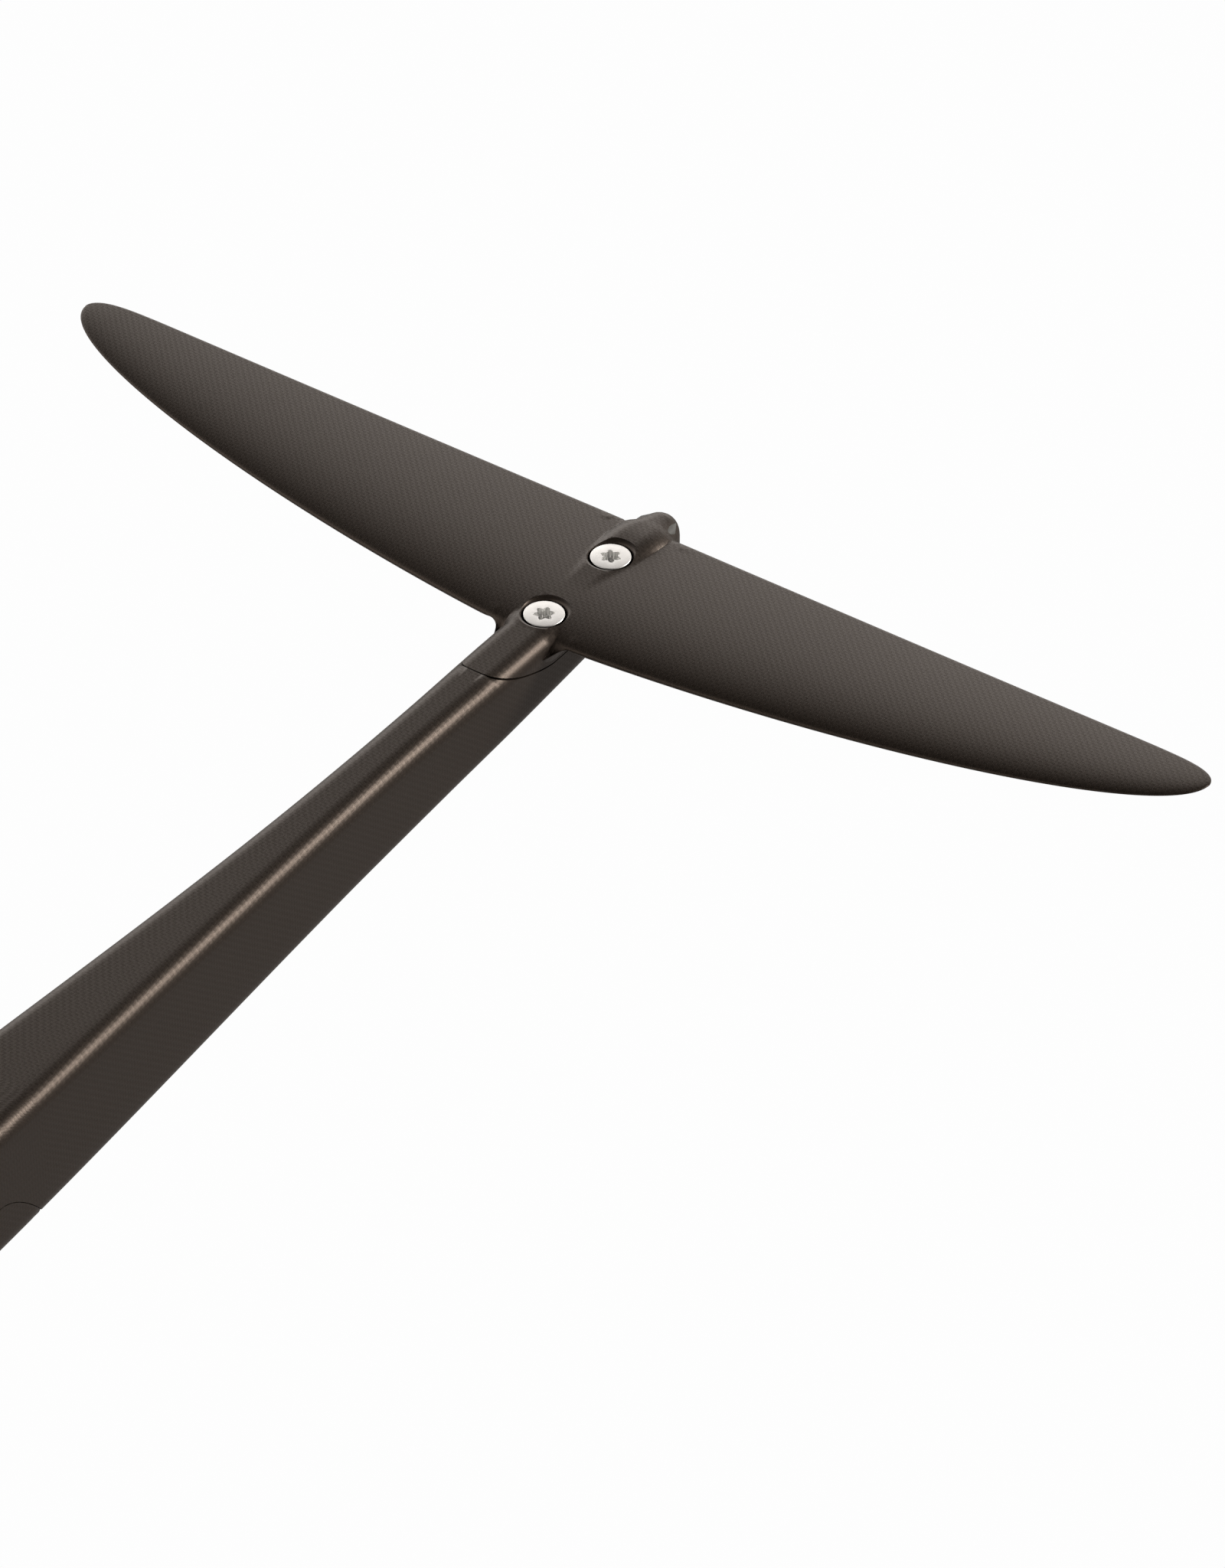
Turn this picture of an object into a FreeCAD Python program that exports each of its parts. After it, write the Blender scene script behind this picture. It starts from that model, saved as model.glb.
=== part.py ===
import FreeCAD, Part
import math
import os
from dataclasses import dataclass

# A bolted hydrofoil: a board plate on a mast, a fuselage on the mast's foot, a front wing under the
# fuselage's nose and a small stabiliser on its tail. Millimetres, +Z up, +X the way it travels, +Y to
# port. Everything is built in the fuselage's own frame, whose origin lies between the two stabiliser
# screws on the flat top of the tail, and is moved on export to the centre of the board plate's top.

Vector = FreeCAD.Vector

# Hardware (ISO 14581 countersunk screws with a six-lobe socket).
M6_RADIUS = 3.0
M6_HEAD_RADIUS = 5.65
M6_SOCKET_RADIUS = 2.75
M8_RADIUS = 4.0
M8_HEAD_RADIUS = 7.9
M8_SOCKET_RADIUS = 3.9
SCREW_HOLE_CLEARANCE = 0.2
COUNTERSINK_CLEARANCE = 0.8
THREAD_CLEARANCE = 0.03
HEAD_RECESS = 0.7
SOCKET_DEPTH_SHARE = 0.85
LOBE_RADIUS_SHARE = 0.29
SOCKET_CORE_SHARE = 0.72
CLEAR_HEIGHT_ABOVE_HEAD = 20.0
INSERT_WALL = 1.6

# Fuselage.
TAIL_X = -44.0
NOSE_X = 552.0
NOSE_TAPER_LENGTH = 132.0
NOSE_Z = -21.0
WAIST_HALF_WIDTH = 7.6
TAIL_HALF_WIDTH = 8.0
MAIN_HALF_WIDTH = 18.0
TAIL_FLARE_START = 35.0
TAIL_FLARE_LENGTH = 35.0
WIDENING_START = 75.0
WIDENING_LENGTH = 305.0
TOP_RISE = 3.4
TOP_RISE_START = 110.0
TOP_RISE_LENGTH = 220.0
MAIN_DEPTH = 38.2
TAIL_TAPER_DEPTH = 15.9
TAIL_TAPER_START = 280.0
TAIL_TAPER_LENGTH = 266.0
TAIL_TAPER_POWER = 1.7
TOP_CORNER_RADIUS = 5.2
BOTTOM_CORNER_RADIUS = 7.0
TAIL_END_ROUNDING = 1.6
FUSELAGE_WALL = 2.0
LARGEST_CORNER_SHARE = 0.8
SMALLEST_CORNER_RADIUS = 0.5
HULL_STEP = 22.0
NOSE_STEPS = 9
TONGUE_STEPS = 8

# Stabiliser and its saddle on the tail.
STABILISER_SCREW_SPACING = 31.0
STABILISER_SCREW_LENGTH = 16.0
STABILISER_SADDLE_DEPTH = 9.4
STABILISER_TONGUE_X = 46.8
STABILISER_TONGUE_LENGTH = 25.0
STABILISER_TONGUE_POWER = 1.45
STABILISER_INSERT_LENGTH = 7.0
TAIL_BLOCK_FRONT_X = 32.0
ROOT_BLOCK_INSET = 2.0

# Mast and board plate.
MAST_X = 345.0
MAST_LENGTH = 750.0
MAST_CHORD = 125.0
MAST_THICKNESS = 16.0
MAST_SKIN = 2.0
MAST_TRAILING_EDGE = 1.6
MAST_SOCKET_DEPTH = 14.0
MAST_SCREW_STATIONS = (0.2, 0.5)
MAST_FOOT_BLOCK_HEIGHT = 50.0
MAST_HEAD_BLOCK_HEIGHT = 45.0
MAST_SCREW_LENGTH = 30.0
MAST_FOOT_THREAD_DEPTH = 30.0
MAST_HEAD_THREAD_DEPTH = 36.0
MAST_BLOCK_MARGIN = 9.0
PLATE_LENGTH = 184.0
PLATE_WIDTH = 112.0
PLATE_THICKNESS = 9.0
PLATE_CORNER_RADIUS = 14.0
PLATE_SOCKET_DEPTH = 18.0
PLATE_FLOOR = 6.0
COLLAR_WALL = 7.0
COLLAR_EDGE_SHARE = 0.6
BOLT_SPACING_X = 165.0
BOLT_SPACING_Y = 90.0
BOLT_SLOT_LENGTH = 14.0
BOLT_SLOT_RADIUS = 4.25

# Front wing and its saddle under the nose.
FRONT_SADDLE_TOP_Z = -20.8
FRONT_TONGUE_X = 246.5
FRONT_TONGUE_LENGTH = 19.5
FRONT_TONGUE_POWER = 1.7
FRONT_SCREW_XS = (425.0, 455.0, 485.0)
FRONT_SCREW_LENGTH = 32.0
FRONT_INSERT_LENGTH = 14.0
FRONT_BLOCK_END_X = 508.0
SPAR_X = 462.0
SPAR_WIDTH = 16.0
SPAR_SHARE_OF_SPAN = 0.62

REACH = 1000.0


@dataclass
class Wing:
    """A lifting surface: its outline seen from above, its section and its skins."""

    half_span: float
    tip_x: float
    front_reach: float
    front_powers: tuple
    rear_reach: float
    rear_narrowing: float
    rear_powers: tuple
    thickness_share: float
    camber_share: float
    trailing_edge: float
    centre_z: float
    tip_rise: float
    skin: float
    core_share_of_span: float
    root_half_width: float

    def front_x(self, y):
        """X of the leading edge at a distance y from the middle."""
        share = abs(y) / self.half_span
        span_power, roundness = self.front_powers
        return self.tip_x + self.front_reach * (1 - share**span_power) ** (1 / roundness)

    def rear_x(self, y):
        """X of the trailing edge at a distance y from the middle."""
        share = abs(y) / self.half_span
        narrowing_power, tip_power = self.rear_powers
        reach = self.rear_reach * (1 - self.rear_narrowing * share**narrowing_power)
        return self.tip_x - reach * math.sqrt(1 - share**tip_power)

    def mean_z(self, y):
        """Height of the line from leading to trailing edge at a distance y from the middle."""
        return self.centre_z + self.tip_rise * (y / self.half_span) ** 2

    def thickness(self, y):
        """Greatest thickness of the section at a distance y from the middle."""
        return self.thickness_share * (self.front_x(y) - self.rear_x(y))


STABILISER = Wing(
    half_span=186.2,
    tip_x=-21.0,
    front_reach=44.0,
    front_powers=(1.285, 1.96),
    rear_reach=12.9,
    rear_narrowing=0.54,
    rear_powers=(1.85, 35.0),
    thickness_share=0.114,
    camber_share=0.0,
    trailing_edge=0.6,
    centre_z=-3.3,
    tip_rise=6.5,
    skin=0.9,
    core_share_of_span=0.7,
    root_half_width=TAIL_HALF_WIDTH - ROOT_BLOCK_INSET,
)

FRONT_WING = Wing(
    half_span=440.0,
    tip_x=405.0,
    front_reach=115.0,
    front_powers=(2.0, 2.0),
    rear_reach=50.0,
    rear_narrowing=0.6,
    rear_powers=(1.8, 14.0),
    thickness_share=0.115,
    camber_share=0.015,
    trailing_edge=0.8,
    centre_z=-37.0,
    tip_rise=-25.0,
    skin=1.5,
    core_share_of_span=0.78,
    root_half_width=MAIN_HALF_WIDTH - ROOT_BLOCK_INSET,
)

THICKEST_STATION = 0.3
STATIONS = (0.0, 0.12, 0.25, 0.4, 0.55, 0.68, 0.78, 0.86, 0.92, 0.96, 0.985, 0.995)
SECTION_STEPS = 11


def smooth_step(share):
    """A number that eases from 0 to 1 as share goes from 0 to 1, and stays there beyond."""
    share = min(max(share, 0.0), 1.0)
    return share * share * (3 - 2 * share)


def half_thickness_share(station):
    """Half the thickness of a streamlined section, as a share of its greatest thickness."""
    return 5 * (
        0.2969 * math.sqrt(station)
        - 0.1260 * station
        - 0.3516 * station**2
        + 0.2843 * station**3
        - 0.1036 * station**4
    )


def camber_height(camber, station):
    """Height of a section's middle line above its chord, where camber is the greatest."""
    return 4 * camber * station * (1 - station)


def section_outline(chord, thickness, trailing_edge, camber):
    """Points of a section as (distance behind the leading edge, height), from above the trailing edge
    forward over the nose and back underneath."""
    stations = [(1 - math.cos(math.pi * step / SECTION_STEPS)) / 2 for step in range(SECTION_STEPS + 1)]
    upper = []
    lower = []
    for station in stations:
        half = half_thickness_share(station) * thickness + station * trailing_edge / 2
        middle = camber_height(camber, station)
        upper.append((station * chord, middle + half))
        lower.append((station * chord, middle - half))
    return upper[::-1] + lower[1:]


def closed_spline(points):
    """A wire through the points, with a straight edge from the last back to the first."""
    curve = Part.BSplineCurve()
    curve.interpolate(points)
    closing = Part.makeLine(points[-1], points[0])
    return Part.Wire([curve.toShape(), closing])


def wing_section(wing, y, skin=0.0):
    """The wing's section at y, or the section of its core where a skin is given."""
    chord = wing.front_x(y) - wing.rear_x(y)
    thickness = wing.thickness(y)
    camber = wing.camber_share * chord
    outline = section_outline(chord, thickness, wing.trailing_edge, camber)
    thickest = (THICKEST_STATION * chord, camber_height(camber, THICKEST_STATION))
    height_scale = 1 - 2 * skin / thickness
    length_scale = height_scale if skin else 1.0
    points = []
    for behind, height in outline:
        scaled_behind = thickest[0] + (behind - thickest[0]) * length_scale
        scaled_height = thickest[1] + (height - thickest[1]) * height_scale
        points.append(Vector(wing.front_x(y) - scaled_behind, y, wing.mean_z(y) + scaled_height))
    return closed_spline(points)


def wing_solid(wing, skin=0.0, share_of_span=1.0):
    """The wing as one solid, or its core where a skin is given."""
    distances = [share * wing.half_span * share_of_span for share in STATIONS]
    ordered = [-distance for distance in distances[:0:-1]] + distances
    return Part.makeLoft([wing_section(wing, y, skin) for y in ordered], True, False)


def above_mean_line(wing):
    """Everything above the surface through the wing's leading and trailing edges."""
    reach = wing.half_span * 1.05
    edge_z = wing.mean_z(reach)
    middle_pole_z = 2 * wing.centre_z - edge_z
    parabola = Part.BezierCurve()
    poles = [(-reach, edge_z), (0.0, middle_pole_z), (reach, edge_z)]
    parabola.setPoles([Vector(-REACH, y, z) for y, z in poles])
    corners = [Vector(-REACH, reach, edge_z), Vector(-REACH, reach, REACH)]
    corners += [Vector(-REACH, -reach, REACH), Vector(-REACH, -reach, edge_z)]
    wire = Part.Wire([parabola.toShape(), Part.makePolygon(corners)])
    return Part.Face(wire).extrude(Vector(2 * REACH, 0, 0))


def half_width(x):
    """Half the fuselage's width at x, before its nose tapers."""
    flare = 1 - smooth_step((x - TAIL_FLARE_START) / TAIL_FLARE_LENGTH)
    widening = smooth_step((x - WIDENING_START) / WIDENING_LENGTH)
    width = WAIST_HALF_WIDTH + (TAIL_HALF_WIDTH - WAIST_HALF_WIDTH) * flare
    return width + (MAIN_HALF_WIDTH - WAIST_HALF_WIDTH) * widening


def top_z(x):
    """Height of the fuselage's top at x, before its nose tapers."""
    return TOP_RISE * smooth_step((x - TOP_RISE_START) / TOP_RISE_LENGTH)


def bottom_z(x):
    """Height of the fuselage's underside at x, before its nose tapers."""
    share = max(TAIL_TAPER_START - x, 0.0) / TAIL_TAPER_LENGTH
    return TAIL_TAPER_DEPTH * share**TAIL_TAPER_POWER - MAIN_DEPTH


def nose_scale(x):
    """How much of the full section is left at x as the nose rounds off."""
    share = max(x - (NOSE_X - NOSE_TAPER_LENGTH), 0.0) / NOSE_TAPER_LENGTH
    return math.sqrt(1 - share * share)


def rounded_section(x, width, low, high, low_radius, high_radius):
    """An upright rectangle with rounded corners, across the fuselage at x."""
    sides = []
    corners = [
        (width, low, low_radius, 270),
        (width, high, high_radius, 0),
        (-width, high, high_radius, 90),
        (-width, low, low_radius, 180),
    ]
    ends = []
    for y, z, radius, start in corners:
        centre_y = y - math.copysign(radius, y)
        centre_z = z + radius if z == low else z - radius
        arc_points = []
        for angle in (start, start + 45, start + 90):
            turn = math.radians(angle)
            arc_points.append(
                Vector(x, centre_y + radius * math.cos(turn), centre_z + radius * math.sin(turn))
            )
        ends.append(arc_points)
    for index, arc_points in enumerate(ends):
        sides.append(Part.Arc(*arc_points).toShape())
        following = ends[(index + 1) % len(ends)]
        sides.append(Part.makeLine(arc_points[-1], following[0]))
    return Part.Wire(sides)


def hull_section(x, inset):
    """The fuselage's section at x, inset all round."""
    scale = nose_scale(x)
    width = half_width(x) * scale - inset
    high = NOSE_Z + (top_z(x) - NOSE_Z) * scale - inset
    low = NOSE_Z + (bottom_z(x) - NOSE_Z) * scale + inset
    largest = half_width(x) * scale * LARGEST_CORNER_SHARE
    high_radius = max(min(TOP_CORNER_RADIUS, largest) - inset, SMALLEST_CORNER_RADIUS)
    low_radius = max(min(BOTTOM_CORNER_RADIUS, largest) - inset, SMALLEST_CORNER_RADIUS)
    return rounded_section(x, width, low, high, low_radius, high_radius)


def hull_solid(wall=0.0):
    """The fuselage and both saddles as one body, or the space inside their walls."""
    taper_start = NOSE_X - NOSE_TAPER_LENGTH
    tail_start = TAIL_X + TAIL_END_ROUNDING + wall
    straight_steps = math.ceil((taper_start - tail_start) / HULL_STEP)
    step_length = (taper_start - tail_start) / straight_steps
    positions = [tail_start + index * step_length for index in range(straight_steps + 1)]
    taper_length = NOSE_TAPER_LENGTH - wall
    for step in range(1, NOSE_STEPS):
        positions.append(taper_start + taper_length * math.sin(math.pi / 2 * step / NOSE_STEPS))
    sections = [hull_section(x, wall) for x in positions]
    sections.insert(0, hull_section(TAIL_X + wall, wall + TAIL_END_ROUNDING))
    return Part.makeLoft(sections, True, True)


def side_profile_solid(edges):
    """A solid as wide as anything here, with the given outline seen from the side."""
    return Part.Face(Part.Wire(edges)).extrude(Vector(0, 2 * REACH, 0))


def tongue_curve(tip_x, tip_z, length, depth, power):
    """The curved end of a saddle's seat, from its tip on the surface to where the seat runs flat,
    drawn in the fuselage's middle plane and shifted out to one side."""
    points = []
    for step in range(TONGUE_STEPS + 1):
        share = step / TONGUE_STEPS
        z = tip_z + depth * (1 - (1 - share) ** power)
        points.append(Vector(tip_x + length * share, -REACH, z))
    curve = Part.BSplineCurve()
    curve.interpolate(points)
    return curve.toShape(), points[0], points[-1]


def tail_saddle_region(grow=0.0):
    """Where the stabiliser's saddle is: above a flat that ends in a curved tongue."""
    depth = STABILISER_SADDLE_DEPTH + grow
    tongue, tip, seat = tongue_curve(
        STABILISER_TONGUE_X + grow, 0.0, -STABILISER_TONGUE_LENGTH, -depth, STABILISER_TONGUE_POWER
    )
    corners = [tip, tip + Vector(0, 0, REACH), Vector(-REACH, -REACH, REACH)]
    corners += [Vector(-REACH, -REACH, seat.z), seat]
    return side_profile_solid([tongue, Part.makePolygon(corners)])


def front_saddle_region(grow=0.0):
    """Where the front wing's saddle is: below a flat that ends in a curved tongue."""
    depth = FRONT_SADDLE_TOP_Z + grow + MAIN_DEPTH
    tongue, tip, seat = tongue_curve(
        FRONT_TONGUE_X - grow, -MAIN_DEPTH, FRONT_TONGUE_LENGTH, depth, FRONT_TONGUE_POWER
    )
    corners = [tip, tip - Vector(0, 0, REACH), Vector(REACH, -REACH, -REACH)]
    corners += [Vector(REACH, -REACH, seat.z), seat]
    return side_profile_solid([tongue, Part.makePolygon(corners)])


def slab(axis, low, high):
    """Everything between two planes across an axis, 0 for X, 1 for Y and 2 for Z."""
    corner = [-REACH, -REACH, -REACH]
    size = [2 * REACH, 2 * REACH, 2 * REACH]
    corner[axis] = low
    size[axis] = high - low
    return Part.makeBox(size[0], size[1], size[2], Vector(*corner))


def cylinder(x, z, radius, height, up=1):
    """An upright cylinder on the middle plane that starts at z and goes up or down."""
    return Part.makeCylinder(radius, height, Vector(x, 0, z), Vector(0, 0, up))


def screw_head(x, z, radius, shank_radius, up):
    """The 90 degree cone of a countersunk head whose flat face is at z and faces up or down."""
    cone_height = radius - shank_radius
    return Part.makeCone(radius, shank_radius, cone_height, Vector(x, 0, z), Vector(0, 0, -up))


def star_socket(x, z, radius, depth, up):
    """The six-lobe socket in a screw head's flat face."""
    lobe_radius = radius * LOBE_RADIUS_SHARE
    socket = cylinder(x, z, radius * SOCKET_CORE_SHARE, depth, -up)
    for lobe in range(6):
        angle = math.radians(60 * lobe)
        reach = radius - lobe_radius
        centre = Vector(x + reach * math.cos(angle), reach * math.sin(angle), z)
        socket = socket.fuse(Part.makeCylinder(lobe_radius, depth, centre, Vector(0, 0, -up)))
    return socket


def countersunk_screw(x, z, radius, head_radius, socket_radius, length, up):
    """A countersunk screw whose head is at z, with its shank pointing away from the way it faces."""
    head = screw_head(x, z, head_radius, radius, up)
    shank = cylinder(x, z, radius, length, -up)
    socket_depth = (head_radius - radius) * SOCKET_DEPTH_SHARE
    socket = star_socket(x, z, socket_radius, socket_depth, up)
    return head.fuse(shank).cut(socket).removeSplitter()


def countersunk_hole(x, z, radius, head_radius, length, up):
    """The hole for a countersunk screw, open above its head."""
    wide = head_radius + COUNTERSINK_CLEARANCE
    narrow = radius + SCREW_HOLE_CLEARANCE
    hole = screw_head(x, z, wide, narrow, up)
    hole = hole.fuse(cylinder(x, z, narrow, length, -up))
    return hole.fuse(cylinder(x, z, wide, CLEAR_HEIGHT_ABOVE_HEAD, up))


def thread_insert(x, z, radius, length, up):
    """A threaded insert whose mouth is at z, and the solid that it fills in its block."""
    body = cylinder(x, z, radius + INSERT_WALL, length, up)
    bore = cylinder(x, z, radius + THREAD_CLEARANCE, length, up)
    return body.cut(bore), body


def mast_section(z, wall=0.0, grow=0.0):
    """The mast's section as a face at height z, inside its skins or grown all round."""
    chord = MAST_CHORD + 2 * grow
    thickness = MAST_THICKNESS + 2 * grow
    leading_x = MAST_X + chord / 2
    trailing_edge = MAST_TRAILING_EDGE + 2 * grow * COLLAR_EDGE_SHARE
    outline = section_outline(chord, thickness, trailing_edge, 0.0)
    scale = 1 - 2 * wall / thickness
    length_scale = scale if wall else 1.0
    thickest = THICKEST_STATION * chord
    points = []
    for behind, side in outline:
        x = leading_x - thickest - (behind - thickest) * length_scale
        points.append(Vector(x, side * scale, z))
    return Part.Face(closed_spline(points))


def mast_screw_positions():
    """X of each screw along the mast's chord."""
    return [MAST_X + MAST_CHORD / 2 - share * MAST_CHORD for share in MAST_SCREW_STATIONS]


def wing_underside_z(wing, x):
    """Height of the wing's lower surface at x on the middle plane."""
    chord = wing.front_x(0) - wing.rear_x(0)
    station = (wing.front_x(0) - x) / chord
    camber = camber_height(wing.camber_share * chord, station)
    half = half_thickness_share(station) * wing.thickness(0) + station * wing.trailing_edge / 2
    return wing.mean_z(0) + camber - half


def stabiliser_screw_positions():
    """X of the front and rear stabiliser screws."""
    return [STABILISER_SCREW_SPACING / 2, -STABILISER_SCREW_SPACING / 2]


def rounded_plate(length, width, thickness, radius, top):
    """A flat plate with rounded corners, centred on the mast."""
    plate = Part.makeBox(length, width, thickness, Vector(MAST_X - length / 2, -width / 2, top - thickness))
    upright = [edge for edge in plate.Edges if abs(edge.tangentAt(edge.FirstParameter).z) > 0.99]
    return plate.makeFillet(radius, upright)


def bolt_slot(x, y, top):
    """One slot of the board plate, along X, right through the plate."""
    straight = BOLT_SLOT_LENGTH - 2 * BOLT_SLOT_RADIUS
    height = 3 * PLATE_THICKNESS
    low = top - 2 * PLATE_THICKNESS
    middle = Part.makeBox(
        straight, 2 * BOLT_SLOT_RADIUS, height, Vector(x - straight / 2, y - BOLT_SLOT_RADIUS, low)
    )
    ends = []
    for end_x in (x - straight / 2, x + straight / 2):
        ends.append(Part.makeCylinder(BOLT_SLOT_RADIUS, height, Vector(end_x, y, low)))
    return middle.fuse(ends).removeSplitter()


def solids_of(shape):
    """The shape's solids, largest first."""
    return sorted(shape.Solids, key=lambda solid: solid.Volume, reverse=True)


def wing_parts(wing, saddle, saddle_space, holes):
    """The skins, core and root block of a wing that is moulded in one with its saddle."""
    outer = wing_solid(wing).fuse(saddle)
    core = wing_solid(wing, wing.skin, wing.core_share_of_span)
    inner = core.fuse(saddle_space)
    root = slab(1, -wing.root_half_width, wing.root_half_width)
    upper_half = above_mean_line(wing)
    return {
        "upper_skin": outer.common(upper_half).cut(inner).cut(holes),
        "lower_skin": outer.cut(upper_half).cut(inner).cut(holes),
        "core": core.cut(root),
        "root_block": inner.common(root).cut(holes),
    }


MAST_FOOT_Z = top_z(MAST_X) - MAST_SOCKET_DEPTH
MAST_HEAD_Z = MAST_FOOT_Z + MAST_LENGTH
PLATE_TOP_Z = MAST_HEAD_Z + PLATE_FLOOR
ROW_SHIFT = Vector(-MAST_X, 0, -PLATE_TOP_Z)


def stabiliser(hull, hull_space):
    """The stabiliser with its saddle, and its screws."""
    head_z = -HEAD_RECESS
    length = STABILISER_SCREW_LENGTH
    screws = []
    holes = []
    for x in stabiliser_screw_positions():
        screws.append(
            countersunk_screw(x, head_z, M6_RADIUS, M6_HEAD_RADIUS, M6_SOCKET_RADIUS, length, 1)
        )
        holes.append(countersunk_hole(x, head_z, M6_RADIUS, M6_HEAD_RADIUS, length, 1))
    region = tail_saddle_region()
    space = hull_space.common(tail_saddle_region(-FUSELAGE_WALL))
    parts = wing_parts(STABILISER, hull.common(region), space, Part.makeCompound(holes))
    nodes = {"stabiliser_" + name: shape for name, shape in parts.items()}
    nodes["stabiliser_screws"] = Part.makeCompound(screws)
    return nodes


def front_wing(hull, hull_space):
    """The front wing with its saddle, its spar and its screws."""
    screws = []
    holes = []
    length = FRONT_SCREW_LENGTH
    for x in FRONT_SCREW_XS:
        head_z = wing_underside_z(FRONT_WING, x) + HEAD_RECESS * 2
        screws.append(
            countersunk_screw(x, head_z, M8_RADIUS, M8_HEAD_RADIUS, M8_SOCKET_RADIUS, length, -1)
        )
        holes.append(countersunk_hole(x, head_z, M8_RADIUS, M8_HEAD_RADIUS, length, -1))
    region = front_saddle_region()
    space = hull_space.common(front_saddle_region(-FUSELAGE_WALL))
    parts = wing_parts(FRONT_WING, hull.common(region), space, Part.makeCompound(holes))
    strip = slab(0, SPAR_X - SPAR_WIDTH / 2, SPAR_X + SPAR_WIDTH / 2)
    reach = FRONT_WING.half_span * SPAR_SHARE_OF_SPAN
    strip = strip.common(slab(1, -reach, reach))
    outside_root = strip.cut(slab(1, -FRONT_WING.root_half_width, FRONT_WING.root_half_width))
    core = parts["core"]
    parts["core"] = core.cut(outside_root)
    parts["spar"] = core.common(outside_root)
    nodes = {"front_wing_" + name: shape for name, shape in parts.items()}
    nodes["front_wing_screws"] = Part.makeCompound(screws)
    return nodes


def fuselage(hull, hull_space, screw_holes):
    """The fuselage's two shells and what is bonded inside them."""
    body = hull.cut(tail_saddle_region()).cut(front_saddle_region())
    space = hull_space.cut(tail_saddle_region(FUSELAGE_WALL))
    space = space.cut(front_saddle_region(FUSELAGE_WALL))
    tail_inserts = []
    front_inserts = []
    seats = []
    for x in stabiliser_screw_positions():
        insert, seat = thread_insert(
            x, -STABILISER_SADDLE_DEPTH, M6_RADIUS, STABILISER_INSERT_LENGTH, -1
        )
        tail_inserts.append(insert)
        seats.append(seat)
    for x in FRONT_SCREW_XS:
        insert, seat = thread_insert(x, FRONT_SADDLE_TOP_Z, M8_RADIUS, FRONT_INSERT_LENGTH, 1)
        front_inserts.append(insert)
        seats.append(seat)
    socket = mast_section(MAST_FOOT_Z).extrude(Vector(0, 0, 3 * MAST_SOCKET_DEPTH))
    openings = Part.makeCompound(seats + [socket] + screw_holes)
    walls = body.cut(space).cut(openings)
    mast_block_rear = MAST_X - MAST_CHORD / 2 - MAST_BLOCK_MARGIN
    mast_block_front = MAST_X + MAST_CHORD / 2 + MAST_BLOCK_MARGIN
    filling = space.cut(openings)
    middle_core = filling.common(slab(0, TAIL_BLOCK_FRONT_X, mast_block_rear))
    nose_core = filling.common(slab(0, FRONT_BLOCK_END_X, REACH))
    return {
        "fuselage_port_shell": walls.common(slab(1, 0, REACH)),
        "fuselage_starboard_shell": walls.common(slab(1, -REACH, 0)),
        "fuselage_foam_core": Part.makeCompound(middle_core.Solids + nose_core.Solids),
        "tail_anchor_block": filling.common(slab(0, -REACH, TAIL_BLOCK_FRONT_X)),
        "tail_thread_inserts": Part.makeCompound(tail_inserts),
        "mast_socket_block": filling.common(slab(0, mast_block_rear, mast_block_front)),
        "front_anchor_block": filling.common(slab(0, mast_block_front, FRONT_BLOCK_END_X)),
        "front_thread_inserts": Part.makeCompound(front_inserts),
    }


def mast():
    """The mast's skins, core and end blocks, its foot screws and the holes they need."""
    outer = mast_section(MAST_FOOT_Z).extrude(Vector(0, 0, MAST_LENGTH))
    inner = mast_section(MAST_FOOT_Z, MAST_SKIN).extrude(Vector(0, 0, MAST_LENGTH))
    skins = outer.cut(inner)
    foot_head_z = FRONT_SADDLE_TOP_Z + HEAD_RECESS
    plate_head_z = PLATE_TOP_Z - HEAD_RECESS
    foot_screws = []
    foot_holes = []
    plate_screws = []
    threads = []
    for x in mast_screw_positions():
        foot_screws.append(
            countersunk_screw(
                x, foot_head_z, M8_RADIUS, M8_HEAD_RADIUS, M8_SOCKET_RADIUS, MAST_SCREW_LENGTH, -1
            )
        )
        foot_holes.append(
            countersunk_hole(x, foot_head_z, M8_RADIUS, M8_HEAD_RADIUS, MAST_SCREW_LENGTH, -1)
        )
        plate_screws.append(
            countersunk_screw(
                x, plate_head_z, M8_RADIUS, M8_HEAD_RADIUS, M8_SOCKET_RADIUS, MAST_SCREW_LENGTH, 1
            )
        )
        thread_radius = M8_RADIUS + THREAD_CLEARANCE
        threads.append(cylinder(x, MAST_FOOT_Z, thread_radius, MAST_FOOT_THREAD_DEPTH))
        threads.append(cylinder(x, MAST_HEAD_Z, thread_radius, MAST_HEAD_THREAD_DEPTH, -1))
    threads = Part.makeCompound(threads)
    foot_top = MAST_FOOT_Z + MAST_FOOT_BLOCK_HEIGHT
    head_low = MAST_HEAD_Z - MAST_HEAD_BLOCK_HEIGHT
    nodes = {
        "mast_port_skin": skins.common(slab(1, 0, REACH)),
        "mast_starboard_skin": skins.common(slab(1, -REACH, 0)),
        "mast_core": inner.common(slab(2, foot_top, head_low)),
        "mast_foot_block": inner.common(slab(2, MAST_FOOT_Z, foot_top)).cut(threads),
        "mast_head_block": inner.common(slab(2, head_low, MAST_HEAD_Z)).cut(threads),
        "mast_foot_screws": Part.makeCompound(foot_screws),
        "board_plate_screws": Part.makeCompound(plate_screws),
    }
    return nodes, foot_holes


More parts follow.
